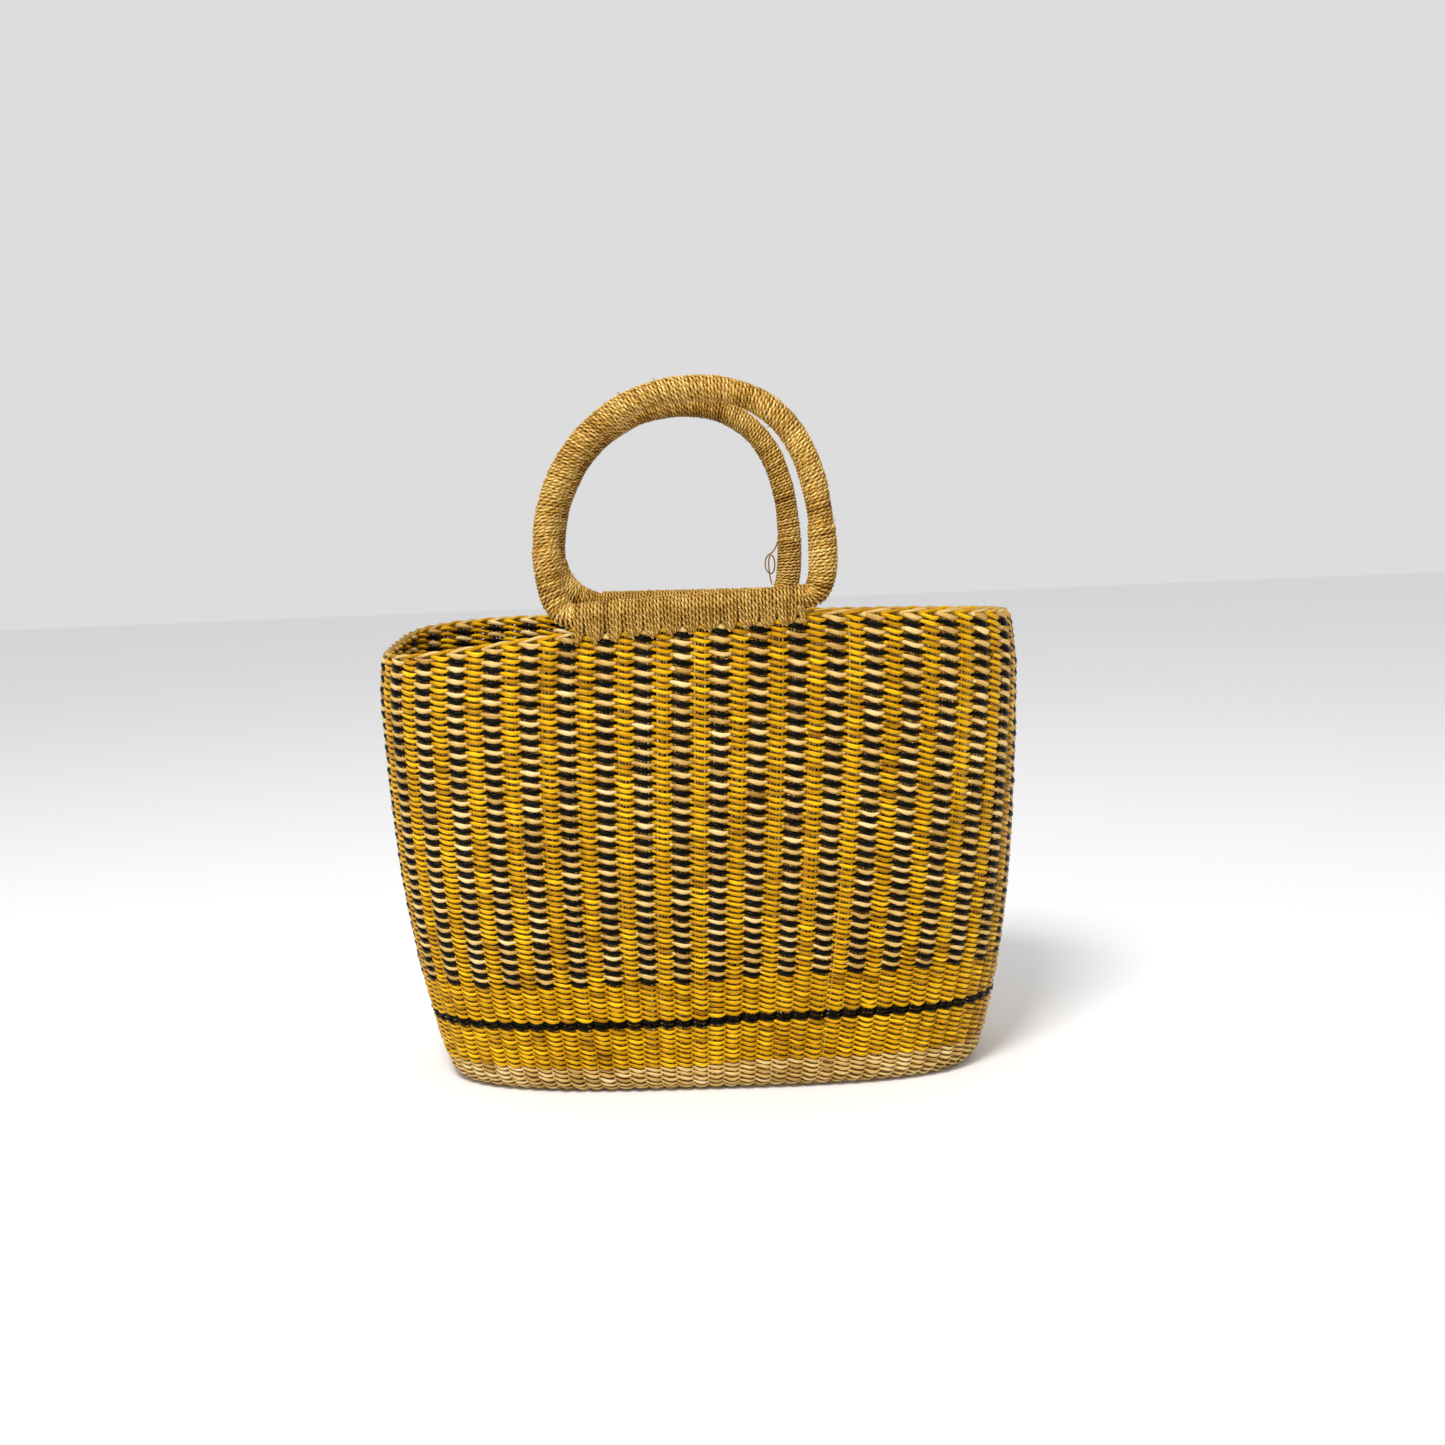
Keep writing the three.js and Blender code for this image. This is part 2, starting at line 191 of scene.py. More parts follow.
def surface_frame(around, path):
    """Point, direction round the basket, direction up the wall, and outward normal.

    The directions are differences of the surface a small way on and back, and the normal is
    their cross product.
    """
    tangent = unit(surface(around + SMALL_TURN, path) - surface(around - SMALL_TURN, path))
    rise = surface(around, path + SMALL_PATH) - surface(around, path - SMALL_PATH)
    normal = unit(np.cross(tangent, rise))
    return surface(around, path), tangent, np.cross(normal, tangent), normal


# %% [markdown]
# ## Meshes from grids
#
# Every strand is a tube: a grid of points with one direction along the strand and one round its
# section. Vertices and faces go to Blender as whole arrays. The tube's own uv map holds metres
# along the strand and the share of the way round it, which lets the material draw fibres along
# the grass. A face attribute called tone gives each stitch its own shade, and it also carries
# painted shade at the crossings of the weft and between neighbouring cords.

# %% Mesh from a stack of tubes


def tube_faces(count, rings, sides, closed):
    """Corner numbers of all side faces, and each face's ring and side: [tube, ring, side, corner]."""
    spans = rings if closed else rings - 1
    tube, i, j = np.meshgrid(np.arange(count), np.arange(spans), np.arange(sides), indexing="ij")
    next_i, next_j = (i + 1) % rings, (j + 1) % sides

    def at(ring, side):
        return (tube * rings + ring) * sides + side

    return np.stack([at(i, j), at(next_i, j), at(next_i, next_j), at(i, next_j)], axis=-1), i, j


def tube_uv(i, j, sides, length, offset):
    """The uv of each face corner: u is metres along the tube, and v the share of the way round."""
    count = len(length)
    start = np.take_along_axis(length, i.reshape(count, -1), 1).reshape(i.shape)
    end = start + (length[:, 1:2] - length[:, :1])[:, :, None]
    if offset is not None:
        start, end = start + offset[:, None, None], end + offset[:, None, None]
    low, high = j / sides, (j + 1) / sides
    return np.stack([np.stack([start, low], -1), np.stack([end, low], -1),
                     np.stack([end, high], -1), np.stack([start, high], -1)], axis=-2)


def tube_caps(count, rings, sides):
    """Corner numbers of the flat cap at the first and the last ring of each open tube."""
    tube = np.arange(count)[:, None] * rings * sides
    first = tube + np.arange(sides)[::-1]
    last = tube + (rings - 1) * sides + np.arange(sides)
    return np.concatenate([first.reshape(-1), last.reshape(-1)])


def tubes(name, points, material, tone, length, closed, offset=None):
    """One mesh from points[tube, along, side, xyz].

    Faces join neighbours along and round. A closed tube joins its last ring to its first, and an
    open one gets a flat cap at each end. tone[tube, along], or tone[tube, along, side], shades the
    faces, and length[tube, along] is the distance along each tube, in metres.
    """
    count, rings, sides = points.shape[:3]
    quads, i, j = tube_faces(count, rings, sides, closed)
    loops, uv = quads.reshape(-1), tube_uv(i, j, sides, length, offset).reshape(-1, 2)
    if tone.ndim == 2:
        tone = np.broadcast_to(tone[..., None], (count, rings, sides))
    shade = tone[:, :quads.shape[1]].reshape(-1)
    starts = np.arange(quads.size // 4) * 4
    if not closed:
        starts = np.concatenate([starts, loops.size + np.arange(2 * count) * sides])
        loops = np.concatenate([loops, tube_caps(count, rings, sides)])
        uv = np.concatenate([uv, np.zeros((2 * count * sides, 2))])
        shade = np.concatenate([shade, tone[:, 0].mean(-1), tone[:, -1].mean(-1)])
    mesh = bpy.data.meshes.new(name)
    mesh.vertices.add(count * rings * sides)
    mesh.vertices.foreach_set("co", points.reshape(-1).astype(np.float32))
    mesh.loops.add(loops.size)
    mesh.loops.foreach_set("vertex_index", loops.astype(np.int32))
    mesh.polygons.add(starts.size)
    mesh.polygons.foreach_set("loop_start", starts.astype(np.int32))
    mesh.update(calc_edges=True)
    mesh.polygons.foreach_set("use_smooth", np.ones(starts.size, dtype=bool))
    mesh.uv_layers.new(name="strand").data.foreach_set("uv", uv.reshape(-1).astype(np.float32))
    mesh.attributes.new("tone", "FLOAT", "FACE").data.foreach_set("value", shade.astype(np.float32))
    mesh.validate()
    mesh.materials.append(material)
    made = bpy.data.objects.new(name, mesh)
    bpy.context.scene.collection.objects.link(made)
    print(f"{name}: {count} strands, {loops.size - 2 * starts.size} triangles")
    return made


def section(centre, wide, thick, half_width, half_thick, sides, power=1.0):
    """Rings of an oval section: centre + wide * w cos(a) + thick * t sin(a).

    A power below 1 on the cosine and the sine makes the section fuller.
    """
    angle = (np.arange(sides) + 0.5) / sides * 2 * np.pi
    w = np.sign(np.cos(angle)) * np.abs(np.cos(angle)) ** power
    t = np.sign(np.sin(angle)) * np.abs(np.sin(angle)) ** power
    return (centre[..., None, :] + (half_width[..., None] * w)[..., None] * wide[..., None, :]
            + (half_thick[..., None] * t)[..., None] * thick[..., None, :])


# %% [markdown]
# ## Grass, as one shader group
#
# Grass has no pattern of its own: what the eye reads as grass is a silky strand with fine fibres
# along it, an uneven dye, and a soft sheen. It could be painted as a picture, but a picture has a
# fixed sharpness and has to be laid out on every strand. Here the strand's own uv map feeds a
# stretched noise, long along the fibre and fine across it, so that it fits a strand of any length.
#
# All five finishes of the basket need this, so it is one node group with named inputs. It puts
# out the colour, the roughness and the height of the fibres, and each material gives its own
# shades. The shader itself stays in the material.

# %% Small helpers for node trees
FULL_TURN = 2 * math.pi


def node(tree, kind, **values):
    """A new node with the given settings."""
    made = tree.nodes.new(kind)
    for key, value in values.items():
        setattr(made, key, value)
    return made


def wire(tree, target, value):
    """Gives a socket its value: a link when it comes from another socket, else a plain number."""
    if isinstance(value, bpy.types.NodeSocket):
        tree.links.new(value, target)
    else:
        target.default_value = value


def math_node(tree, operation, *values):
    """A math node on the given values, and its result."""
    made = node(tree, "ShaderNodeMath", operation=operation)
    for socket, value in zip(made.inputs, values):
        wire(tree, socket, value)
    return made.outputs[0]


def map_range(tree, value, from_min, from_max, to_min, to_max):
    """A straight line from one range to another, held at its ends."""
    made = node(tree, "ShaderNodeMapRange")
    for name, given in (("Value", value), ("From Min", from_min), ("From Max", from_max),
                        ("To Min", to_min), ("To Max", to_max)):
        wire(tree, made.inputs[name], given)
    return made.outputs["Result"]


def mix_colour(tree, blend, factor, first, second):
    """Two colours mixed by the given way of blending."""
    made = node(tree, "ShaderNodeMix", data_type="RGBA", blend_type=blend)
    for name, given in (("Factor", factor), ("A", first), ("B", second)):
        wire(tree, made.inputs[name], given)
    return made.outputs["Result"]


def noise(tree, place, scale, detail, roughness):
    """Noise in three dimensions, about a half on average."""
    made = node(tree, "ShaderNodeTexNoise")
    wire(tree, made.inputs["Vector"], place)
    wire(tree, made.inputs["Scale"], scale)
    wire(tree, made.inputs["Detail"], detail)
    wire(tree, made.inputs["Roughness"], roughness)
    return made.outputs["Fac"]


# %% [markdown]
# The noise for the fibres must close on itself round the strand. So the share v of the way round
# becomes a circle, and the noise is read on a cylinder:
#
#     place = (metres along * 60, 3.2 * cos(2 pi v), 3.2 * sin(2 pi v))
#
# A strand is painted darker along its two edges: painted shade where it lies against its
# neighbours. The cosine of 4 pi v has the same value on both sides of the strand, so it finds
# those edges.

# %% The grass group
FIBRES_ALONG, FIBRES_ACROSS = 60, 3.2     # noise steps per metre, and radius of the noise cylinder
DYE_SCALE = 120                           # patches of dye per metre
FIBRE_WEIGHT, DYE_WEIGHT = 0.75, 0.4      # how much each moves the shade
DARK_AT, MIDDLE_AT, LIGHT_AT = 0.12, 0.5, 0.9
ROUGHNESS_SPREAD = 0.1

GRASS_INPUTS = {
    "Dark": "NodeSocketColor", "Middle": "NodeSocketColor", "Light": "NodeSocketColor",
    "Tone Weight": "NodeSocketFloat", "Edge Place": "NodeSocketFloat", "Edge Floor": "NodeSocketFloat",
    "Edge Knee": "NodeSocketFloat", "Roughness": "NodeSocketFloat",
}
GRASS_OUTPUTS = {"Colour": "NodeSocketColor", "Roughness": "NodeSocketFloat", "Fibres": "NodeSocketFloat"}


def strand_place(tree):
    """Place on a cylinder round the strand's own uv map, and the share of the way round."""
    uv = node(tree, "ShaderNodeUVMap", uv_map="strand")
    split = node(tree, "ShaderNodeSeparateXYZ")
    tree.links.new(uv.outputs["UV"], split.inputs[0])
    turn = math_node(tree, "MULTIPLY", split.outputs["Y"], FULL_TURN)
    place = node(tree, "ShaderNodeCombineXYZ")
    wire(tree, place.inputs[0], math_node(tree, "MULTIPLY", split.outputs["X"], FIBRES_ALONG))
    for index, operation in ((1, "COSINE"), (2, "SINE")):
        around = math_node(tree, operation, turn)
        wire(tree, place.inputs[index], math_node(tree, "MULTIPLY", around, FIBRES_ACROSS))
    return place.outputs[0], split.outputs["Y"]


def painted_edge_shade(tree, share, given):
    """Painted shade: 1 on the open faces of a strand, falling to a floor where it meets its neighbours.

    The line is on cos(4 pi (v + place)): it falls from the knee down to the floor at -1.
    """
    shifted = math_node(tree, "ADD", share, given["Edge Place"])
    crest = math_node(tree, "COSINE", math_node(tree, "MULTIPLY", shifted, 2 * FULL_TURN))
    return map_range(tree, crest, -1.0, given["Edge Knee"], given["Edge Floor"], 1.0)


def shade_of(tree, fibres, dye, given):
    """Shade from 0 to 1: a half, plus the unevenness of fibre, dye and the strand's own tone."""
    tone = node(tree, "ShaderNodeAttribute", attribute_name="tone").outputs["Fac"]
    shade = 0.5
    for part, weight in ((tone, given["Tone Weight"]), (dye, DYE_WEIGHT), (fibres, FIBRE_WEIGHT)):
        uneven = math_node(tree, "SUBTRACT", part, 0.5)
        shade = math_node(tree, "MULTIPLY_ADD", uneven, weight, shade)
    return shade


def grass_group():
    """The node group: three shades mixed by fibre, dye and tone, with painted shade at the strand's edges.
    """
    tree = bpy.data.node_groups.new("grass_strand", "ShaderNodeTree")
    for name, kind in GRASS_INPUTS.items():
        tree.interface.new_socket(name, in_out="INPUT", socket_type=kind)
    for name, kind in GRASS_OUTPUTS.items():
        tree.interface.new_socket(name, in_out="OUTPUT", socket_type=kind)
    given = node(tree, "NodeGroupInput").outputs
    place, share = strand_place(tree)
    fibres = noise(tree, place, scale=1.0, detail=3.0, roughness=0.6)
    spot = node(tree, "ShaderNodeTexCoord").outputs["Object"]
    dye = noise(tree, spot, scale=DYE_SCALE, detail=2.0, roughness=0.5)
    shade = shade_of(tree, fibres, dye, given)
    low = map_range(tree, shade, DARK_AT, MIDDLE_AT, 0.0, 1.0)
    high = map_range(tree, shade, MIDDLE_AT, LIGHT_AT, 0.0, 1.0)
    colour = mix_colour(tree, "MIX", low, given["Dark"], given["Middle"])
    colour = mix_colour(tree, "MIX", high, colour, given["Light"])
    colour = mix_colour(tree, "MULTIPLY", 1.0, colour, painted_edge_shade(tree, share, given))
    rougher = math_node(tree, "ADD", given["Roughness"], ROUGHNESS_SPREAD)
    smoother = math_node(tree, "SUBTRACT", given["Roughness"], ROUGHNESS_SPREAD)
    out = node(tree, "NodeGroupOutput").inputs
    wire(tree, out["Colour"], colour)
    wire(tree, out["Roughness"], map_range(tree, fibres, 0.0, 1.0, rougher, smoother))
    wire(tree, out["Fibres"], fibres)
    return tree


GRASS = grass_group()
print("grass group:", len(GRASS.nodes), "nodes")

# %% [markdown]
# A material holds the shader, one copy of the group and a shallow bump. The gloss of dry grass
# takes the colour of the grass, so the shader's specular tint is set for each one. White gloss
# would lay a grey haze over the black and the yellow.

# %% Grass materials
FIBRE_DEPTH = 0.4 * MM
# The edges of a strand are painted darker: painted shade where it meets its neighbours.
WEFT_EDGE = 0.25 + 0.5 / SIDES     # turns the dark edges of a weft strand up and down the wall


def linear(red, green, blue):
    """Linear light from the 0 to 255 values of a display colour."""
    values = np.array([red, green, blue]) / 255
    bright = ((values + 0.055) / 1.055) ** 2.4
    return (*(float(v) for v in np.where(values <= 0.04045, values / 12.92, bright)), 1.0)


def grass(name, shades, roughness, tint, bump=0.35, shine=0.5, tone=0.9, edge=(WEFT_EDGE, 0.4, 0.3)):
    """A silky strand. shades are dark, middle and light; edge is the place, floor and knee of the painted
    edge shade.
    """
    material = bpy.data.materials.new(name)
    material.use_nodes = True
    tree = material.node_tree
    shader = tree.nodes["Principled BSDF"]
    shader.inputs["Specular IOR Level"].default_value = shine
    shader.inputs["Specular Tint"].default_value = (*tint, 1)
    strands = node(tree, "ShaderNodeGroup", node_tree=GRASS)
    values = [*(linear(*shade) for shade in shades), tone, *edge, roughness]
    for socket, value in zip(GRASS_INPUTS, values):
        strands.inputs[socket].default_value = value
    relief = node(tree, "ShaderNodeBump")
    relief.inputs["Strength"].default_value = bump
    relief.inputs["Distance"].default_value = FIBRE_DEPTH
    tree.links.new(strands.outputs["Colour"], shader.inputs["Base Color"])
    tree.links.new(strands.outputs["Roughness"], shader.inputs["Roughness"])
    tree.links.new(strands.outputs["Fibres"], relief.inputs["Height"])
    tree.links.new(relief.outputs[0], shader.inputs["Normal"])
    return material


# A deeper painted edge shade for yellow and natural grass, falling to black where strands meet.
DEEP_PAINTED_EDGE = (WEFT_EDGE, 0.3, 0.0)
YELLOW = grass("yellow_grass", [(128, 78, 0), (200, 144, 0), (246, 196, 20)], 0.36, (1.0, 0.72, 0.16),
               edge=DEEP_PAINTED_EDGE)
BLACK = grass("black_grass", [(2, 2, 1), (5, 5, 4), (16, 15, 14)], 0.32, (0.3, 0.25, 0.2), shine=0.2)
NATURAL = grass("natural_grass", [(146, 102, 36), (206, 166, 90), (240, 212, 150)], 0.42, (1.0, 0.8, 0.5),
                edge=DEEP_PAINTED_EDGE)
STALK = grass("stake_grass", [(110, 70, 12), (180, 132, 48), (240, 204, 124)], 0.22, (1.0, 0.85, 0.5),
              edge=(WEFT_EDGE, 0.7, 0.3))

# %% [markdown]
# ## The weft
#
# A strand's path is a spiral about the mid surface. With the phase a = pi * stakes * u it makes
# half a turn from one stake to the next:
#
#     outward offset  = reach * cos(a), flattened so that it stays out along the whole stitch
#     upward offset   = -slant * sin(a) - sag * cos(a)
#
# The other strand of the row has the opposite phase. The strand is widest in the middle of a
# stitch and narrow where the two cross, which makes the leaf shape of each stitch.

# %% Weft rows
CHECKED_GROWTH = 0.14      # rows of the checked wall grow from this much under to this much over


def row_edges():
    """Path position of the edges between rows, from the foot to the rim, and each band's rows."""
    edges, bands, low = [0.0], {}, 0.0
    for name, top, rows in BANDS:
        high = path_at(top * MM)
        growth = CHECKED_GROWTH if name == "checked" else 0.0
        weights = np.linspace(1 - growth, 1 + growth, rows)
        bands[name] = np.arange(len(edges) - 1, len(edges) - 1 + rows)
        edges.extend(low + (high - low) * np.cumsum(weights) / weights.sum())
        low = high
    return np.array(edges), bands


EDGES, ROWS = row_edges()
STAKE_LEAN = 1.3           # how many stakes round the oval a stake wanders on its way up


def lean_at(path):
    """Sideways wander of the stakes at a place on the path, in stakes, none at half height."""
    return STAKE_LEAN * (np.clip(path / HEIGHT, 0, 1) - 0.5)


JOG_FADE = 9               # rows over which the step dies out above the last plain band
JOG_WIDTH = 1.3 / STAKES   # share of the way round that the step takes
CHECK_START = int(ROWS["checked"][0])
MOST_WAVES, WAVE_DRIFT = 9, 0.09
ROW_NUMBERS = np.arange(len(EDGES))


def wave(around, row, salt, terms=5):
    """A smooth, seeded unevenness of about unit size: a sum of sines round the basket.

    Each sine has its own whole number of waves, and it drifts a little from row to row.
    """
    source = np.random.default_rng(salt)
    total = 0
    for _ in range(terms):
        turns, drift = source.integers(1, MOST_WAVES), source.normal(0, WAVE_DRIFT)
        phase = source.uniform(0, 6.28)
        total = total + np.sin(2 * np.pi * turns * around + drift * row + phase)
    return total / math.sqrt(terms)


def row_path(around, row):
    """Path of a row: its own middle, plus the step of one row at the place where rounds end."""
    turned = (JOG - around) % 1.0
    smooth = np.clip(np.minimum(turned, 1 - turned) / JOG_WIDTH, 0, 1)
    blend = smooth * smooth * (3 - 2 * smooth)
    step = 0.5 + (turned - 0.5) * blend
    height = np.exp(-np.maximum(row - CHECK_START, 0) / JOG_FADE)
    place = row + 0.5 + (step - 0.5) * height
    return np.interp(place, ROW_NUMBERS, EDGES)


# %% [markdown]
# No two stitches of a hand-made basket are alike. Each stitch therefore has four random numbers
# of its own, for how far it reaches, how high it lies, how wide it is and how dark it is. They
# fade out towards the crossings, where two stitches have to meet. The whole row also wanders up
# and down, and the wall has soft dents.

# %% A strand of weft
USUAL_ROW = 3.75 * MM       # the row height that the strand sizes are meant for
HOLD_OUT = 0.72            # a power below 1, so that a strand stays out along its whole stitch
PINCHED = 0.69             # width at a crossing, as a share of the full width
THICKENED = 0.12           # and how much thicker the strand is there
WEFT_FULLNESS = 0.9
STITCH_UNEVEN = dict(reach=0.10, height=0.26 * MM, width=0.08, tone=0.13)
ROW_WANDER, WALL_DENTS, TONE_DRIFT = 0.30 * MM, 0.35 * MM, 0.07
# The crossing shade is painted shade: stitches are darker towards the crossings, where they pass behind
# their neighbours.
WEFT_TONE, PAINTED_CROSSING_SHADE = 0.56, 0.10
ROW_OFFSET, PARTNER_OFFSET = 0.731, 0.37     # so that no two strands have the same fibres
WANDER_SALT, DENT_SALT, TONE_SALT, STITCH_SALT = 5, 9, 13, 17


def strand(rows, inside_first, stakes=STAKES, reach=2.25 * MM, slant=1.05 * MM, sag=0.5 * MM,
           width=1.6 * MM, thick=1.1 * MM, path=None, salt=0, bias=0.0):
    """Points, tones, lengths and offsets of one strand of each given row.

    width and thick are half sizes of the section. bias moves a strand outward, so that its
    stitches come out longer and lie over their partner.
    """
    rows = np.asarray(rows, dtype=float)
    count = stakes * STEPS
    around = np.broadcast_to(np.arange(count) / count, (len(rows), count))
    row = np.broadcast_to(rows[:, None], around.shape)
    middle = row_path(around, row) if path is None else path(around, row)
    run = around * stakes - lean_at(middle.mean(axis=1, keepdims=True)) * stakes / STAKES
    phase = np.pi * run + (np.pi if inside_first else 0)
    at_stake = np.cos(np.pi * run) ** 2
    nearest = np.round(run).astype(int) % stakes
    stitch = np.random.default_rng(salt + STITCH_SALT).normal(0, 1, (len(rows), stakes, 4))
    own = np.take_along_axis(stitch, nearest[:, :, None], axis=1)
    own_reach, own_height, own_width = (own[..., k] * at_stake for k in range(3))

    out = np.sign(np.cos(phase)) * np.abs(np.cos(phase)) ** HOLD_OUT * reach
    out = out * (1 + STITCH_UNEVEN["reach"] * own_reach) + bias
    row_height = np.interp(rows + 1, ROW_NUMBERS, EDGES) - np.interp(rows, ROW_NUMBERS, EDGES)
    scale = (row_height / USUAL_ROW if path is None else np.ones(len(rows)))[:, None]
    up = scale * (-slant * np.sin(phase) - sag * np.cos(phase))
    middle = middle + ROW_WANDER * wave(around, row, WANDER_SALT) + STITCH_UNEVEN["height"] * own_height
    centre, tangent, rise, normal = surface_frame(around, middle)
    out = out + WALL_DENTS * wave(around, row, DENT_SALT)
    centre = centre + normal * out[..., None] + rise * up[..., None]
    half_width = scale * width * (PINCHED + (1 - PINCHED) * at_stake)
    half_width = half_width * (1 + STITCH_UNEVEN["width"] * own_width)
    half_thick = thick * (1 + THICKENED * (1 - at_stake))
    points = section(centre, rise, normal, half_width, half_thick, SIDES, WEFT_FULLNESS)

    drift = TONE_DRIFT * wave(around, row, TONE_SALT)
    tone = WEFT_TONE + STITCH_UNEVEN["tone"] * own[..., 3] + drift
    # Painted shade: each stitch is darker towards its crossings.
    tone = np.clip(tone - PAINTED_CROSSING_SHADE * (1 - at_stake), 0, 1)
    step = np.linalg.norm(np.diff(centre, axis=1), axis=-1).mean()
    length = np.broadcast_to(np.arange(count) * step, around.shape)
    offset = rows * ROW_OFFSET + (PARTNER_OFFSET if inside_first else 0)
    return points, tone, length, offset


def weft(name, node_names, material, parts):
    """One piece from several strands, riding the basket in place of the given solids."""
    points, tone, length, offset = (np.concatenate(found) for found in zip(*parts))
    piece = tubes(name, points, material, tone, length, True, offset)
    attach(piece, "basket")
    if node_names:
        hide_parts(*node_names)
    return piece


PARTNER_SALT = 500         # seeds of a row's second strand are this much on from the first's


def plain_band(name, band, node_name, slot_name, material, **sizes):
    """A band of one colour: both strands of each of its rows."""
    rows = ROWS[band]
    pair = [strand(rows, False, salt=rows[0], **sizes),
            strand(rows, True, salt=rows[0] + PARTNER_SALT, **sizes)]
    return weft(name, [node_name], material, pair)


FOOT_STRAND = dict(thick=0.95 * MM, reach=1.75 * MM)     # the foot is woven tighter
plain_band("foot_weft", "foot", "foot_course", "natural_grass", NATURAL, **FOOT_STRAND)
plain_band("lower_yellow_weft", "lower_yellow", "lower_yellow_course", "yellow_grass", YELLOW)
plain_band("black_stripe_weft", "black_stripe", "black_stripe_course", "black_grass", BLACK)
plain_band("upper_yellow_weft", "upper_yellow", "upper_yellow_course", "yellow_grass", YELLOW)

# %% [markdown]
# The checked wall has one yellow strand in every row, outside on the even stakes. Its partner is
# black in one row and natural in the next. The partners are wider and lie a little further out,
# so their stitches end in points over the yellow. The yellow strands are one piece for the lower
# half of the rows and one for the upper half, so that no piece is too heavy.

# %% The checked wall
CHECKED = ROWS["checked"]
HALF = len(CHECKED) // 2
UNDER = dict(width=1.5 * MM)
OVER = dict(width=1.8 * MM, bias=0.35 * MM)
weft("checked_yellow_weft_low", ["checked_course_low"], YELLOW,
     [strand(CHECKED[:HALF], False, salt=31, **UNDER)])
weft("checked_yellow_weft_high", ["checked_course_high"], YELLOW,
     [strand(CHECKED[HALF:], False, salt=32, **UNDER)])
weft("checked_black_weft", ["checked_course_middle"], BLACK,
     [strand(CHECKED[0::2], True, salt=33, **OVER)])
weft("checked_natural_weft", [], NATURAL, [strand(CHECKED[1::2], True, salt=34, **OVER)])

# %% [markdown]
# ## Stakes
#
# The stakes are the spokes of the weave. Each one is a small bundle of thin, shiny stalks laid
# side by side. They start in the base, turn up at the foot and run to the rim, and they show as
# bright dots in the gaps between the stitches. Every second stake ends part of the way into the
# base, because the rounds get shorter towards its middle.

# %% Stakes
BASE_ROWS, BASE_PITCH = 21, 3.3 * MM
FULL_ROWS = 9              # rounds of the base that still cross every stake
MIDDLE_GAP = 0.7           # the long stakes stop this many rounds short of the last one
STALK_SPREAD = 0.165       # distance between stalks, as a share of the distance between stakes
STALK_OUT = 0.25 * MM      # the bundle lies a little outside the middle of the wall
STALK_TOP = 306.5 * MM
STALK_SIDES = 5
STALK_OFFSET = 7.1         # so that no two stalks have the same fibres
BASE_STEPS, TURN_STEPS, WALL_STEPS = 8, 5, 21    # steps of a stalk in the base, turn and wall
STALK_WANDER, WANDER_WAVES = 0.05, 21            # sideways, in stakes, and how quickly it turns
STALK_UNEVEN = dict(size=0.08, tone=0.2)


def stalks(stakes, reach_in):
    """Points, tones, lengths and offsets of the stalks of some stakes, from the base to the rim."""
    inner = np.linspace(-reach_in, 0, BASE_STEPS + 1)[:-1]
    turn = np.linspace(0, TURN_LENGTH, TURN_STEPS + 1)[:-1]
    wall = np.linspace(TURN_LENGTH, path_at(STALK_TOP), WALL_STEPS + 1)
    path = np.concatenate([inner, turn, wall])
    side = np.arange(STALKS) - (STALKS - 1) / 2
    first = (stakes[:, None] + side * STALK_SPREAD).reshape(-1) / STAKES
    around = np.broadcast_to(first[:, None], (len(first), len(path)))
    lean = STALK_WANDER * rng.normal(0, 1, (len(first), 1))
    lean = lean * np.sin(path * WANDER_WAVES + rng.uniform(0, 6, (len(first), 1)))
    around = around + (lean + lean_at(path)) / STAKES
    centre, tangent, rise, normal = surface_frame(around, np.broadcast_to(path, around.shape))
    out = np.where(path > TURN_LENGTH, STALK_OUT, 0)
    centre = centre + normal * out[..., None]
    uneven = 1 + STALK_UNEVEN["size"] * rng.normal(0, 1, (len(first), 1))
    size = STALK_RADIUS * uneven * np.ones_like(around)
    points = section(centre, tangent, -normal, size, size, STALK_SIDES)
    tone = 0.5 + STALK_UNEVEN["tone"] * rng.normal(0, 1, (len(first), 1)) * np.ones_like(around)
    length = np.broadcast_to(path - path[0], around.shape)
    return points, np.clip(tone, 0, 1), length, first * STALK_OFFSET


even, odd = np.arange(0, STAKES, 2), np.arange(1, STAKES, 2)
stake_parts = [stalks(even, BASE_PITCH * (BASE_ROWS - MIDDLE_GAP)), stalks(odd, BASE_PITCH * FULL_ROWS)]
stake_points, stake_tone, stake_length, stake_offset = (np.concatenate(p) for p in zip(*stake_parts))
stakes = tubes("stakes", stake_points, STALK, stake_tone, stake_length, False, stake_offset)
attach(stakes, "basket")

# %% [markdown]
# ## Base and rim
#
# The base is the same twining laid flat, in rounds that shrink towards a line at its middle. Its
# inner rounds cross only every second stake. At the rim two thicker strands, one yellow and one
# natural, are twisted into a thin edging rope that finishes the last row.

# %% Base and rim


def base_path(around, row):
    """Path of a round of the base: straight in from the foot, at an even pitch."""
    return -(row + 0.5) * BASE_PITCH


flat = dict(reach=1.15 * MM, thick=0.85 * MM, width=1.5 * MM, slant=0.6 * MM, sag=0.2 * MM, path=base_path)
full, inner_rows = np.arange(FULL_ROWS), np.arange(FULL_ROWS, BASE_ROWS)
weft("base_weft", ["base_panel"], NATURAL,
     [strand(full, False, salt=71, **flat), strand(full, True, salt=72, **flat)])
weft("base_middle_weft", [], NATURAL,
     [strand(inner_rows, False, stakes=STAKES // 2, salt=73, **flat),
      strand(inner_rows, True, stakes=STAKES // 2, salt=74, **flat)])

# %% Edging rope
EDGE_LEVEL = 306.1 * MM
EDGE_STEPS = 10            # grid steps from one stake to the next
EDGE_OUT, EDGE_UP = 1.15 * MM, 0.8 * MM      # how far its strands swing out and up
EDGE_RADIUS, EDGE_FLATNESS = 1.25 * MM, 0.85
EDGE_TONE, EDGE_OFFSET = 0.14, 0.3


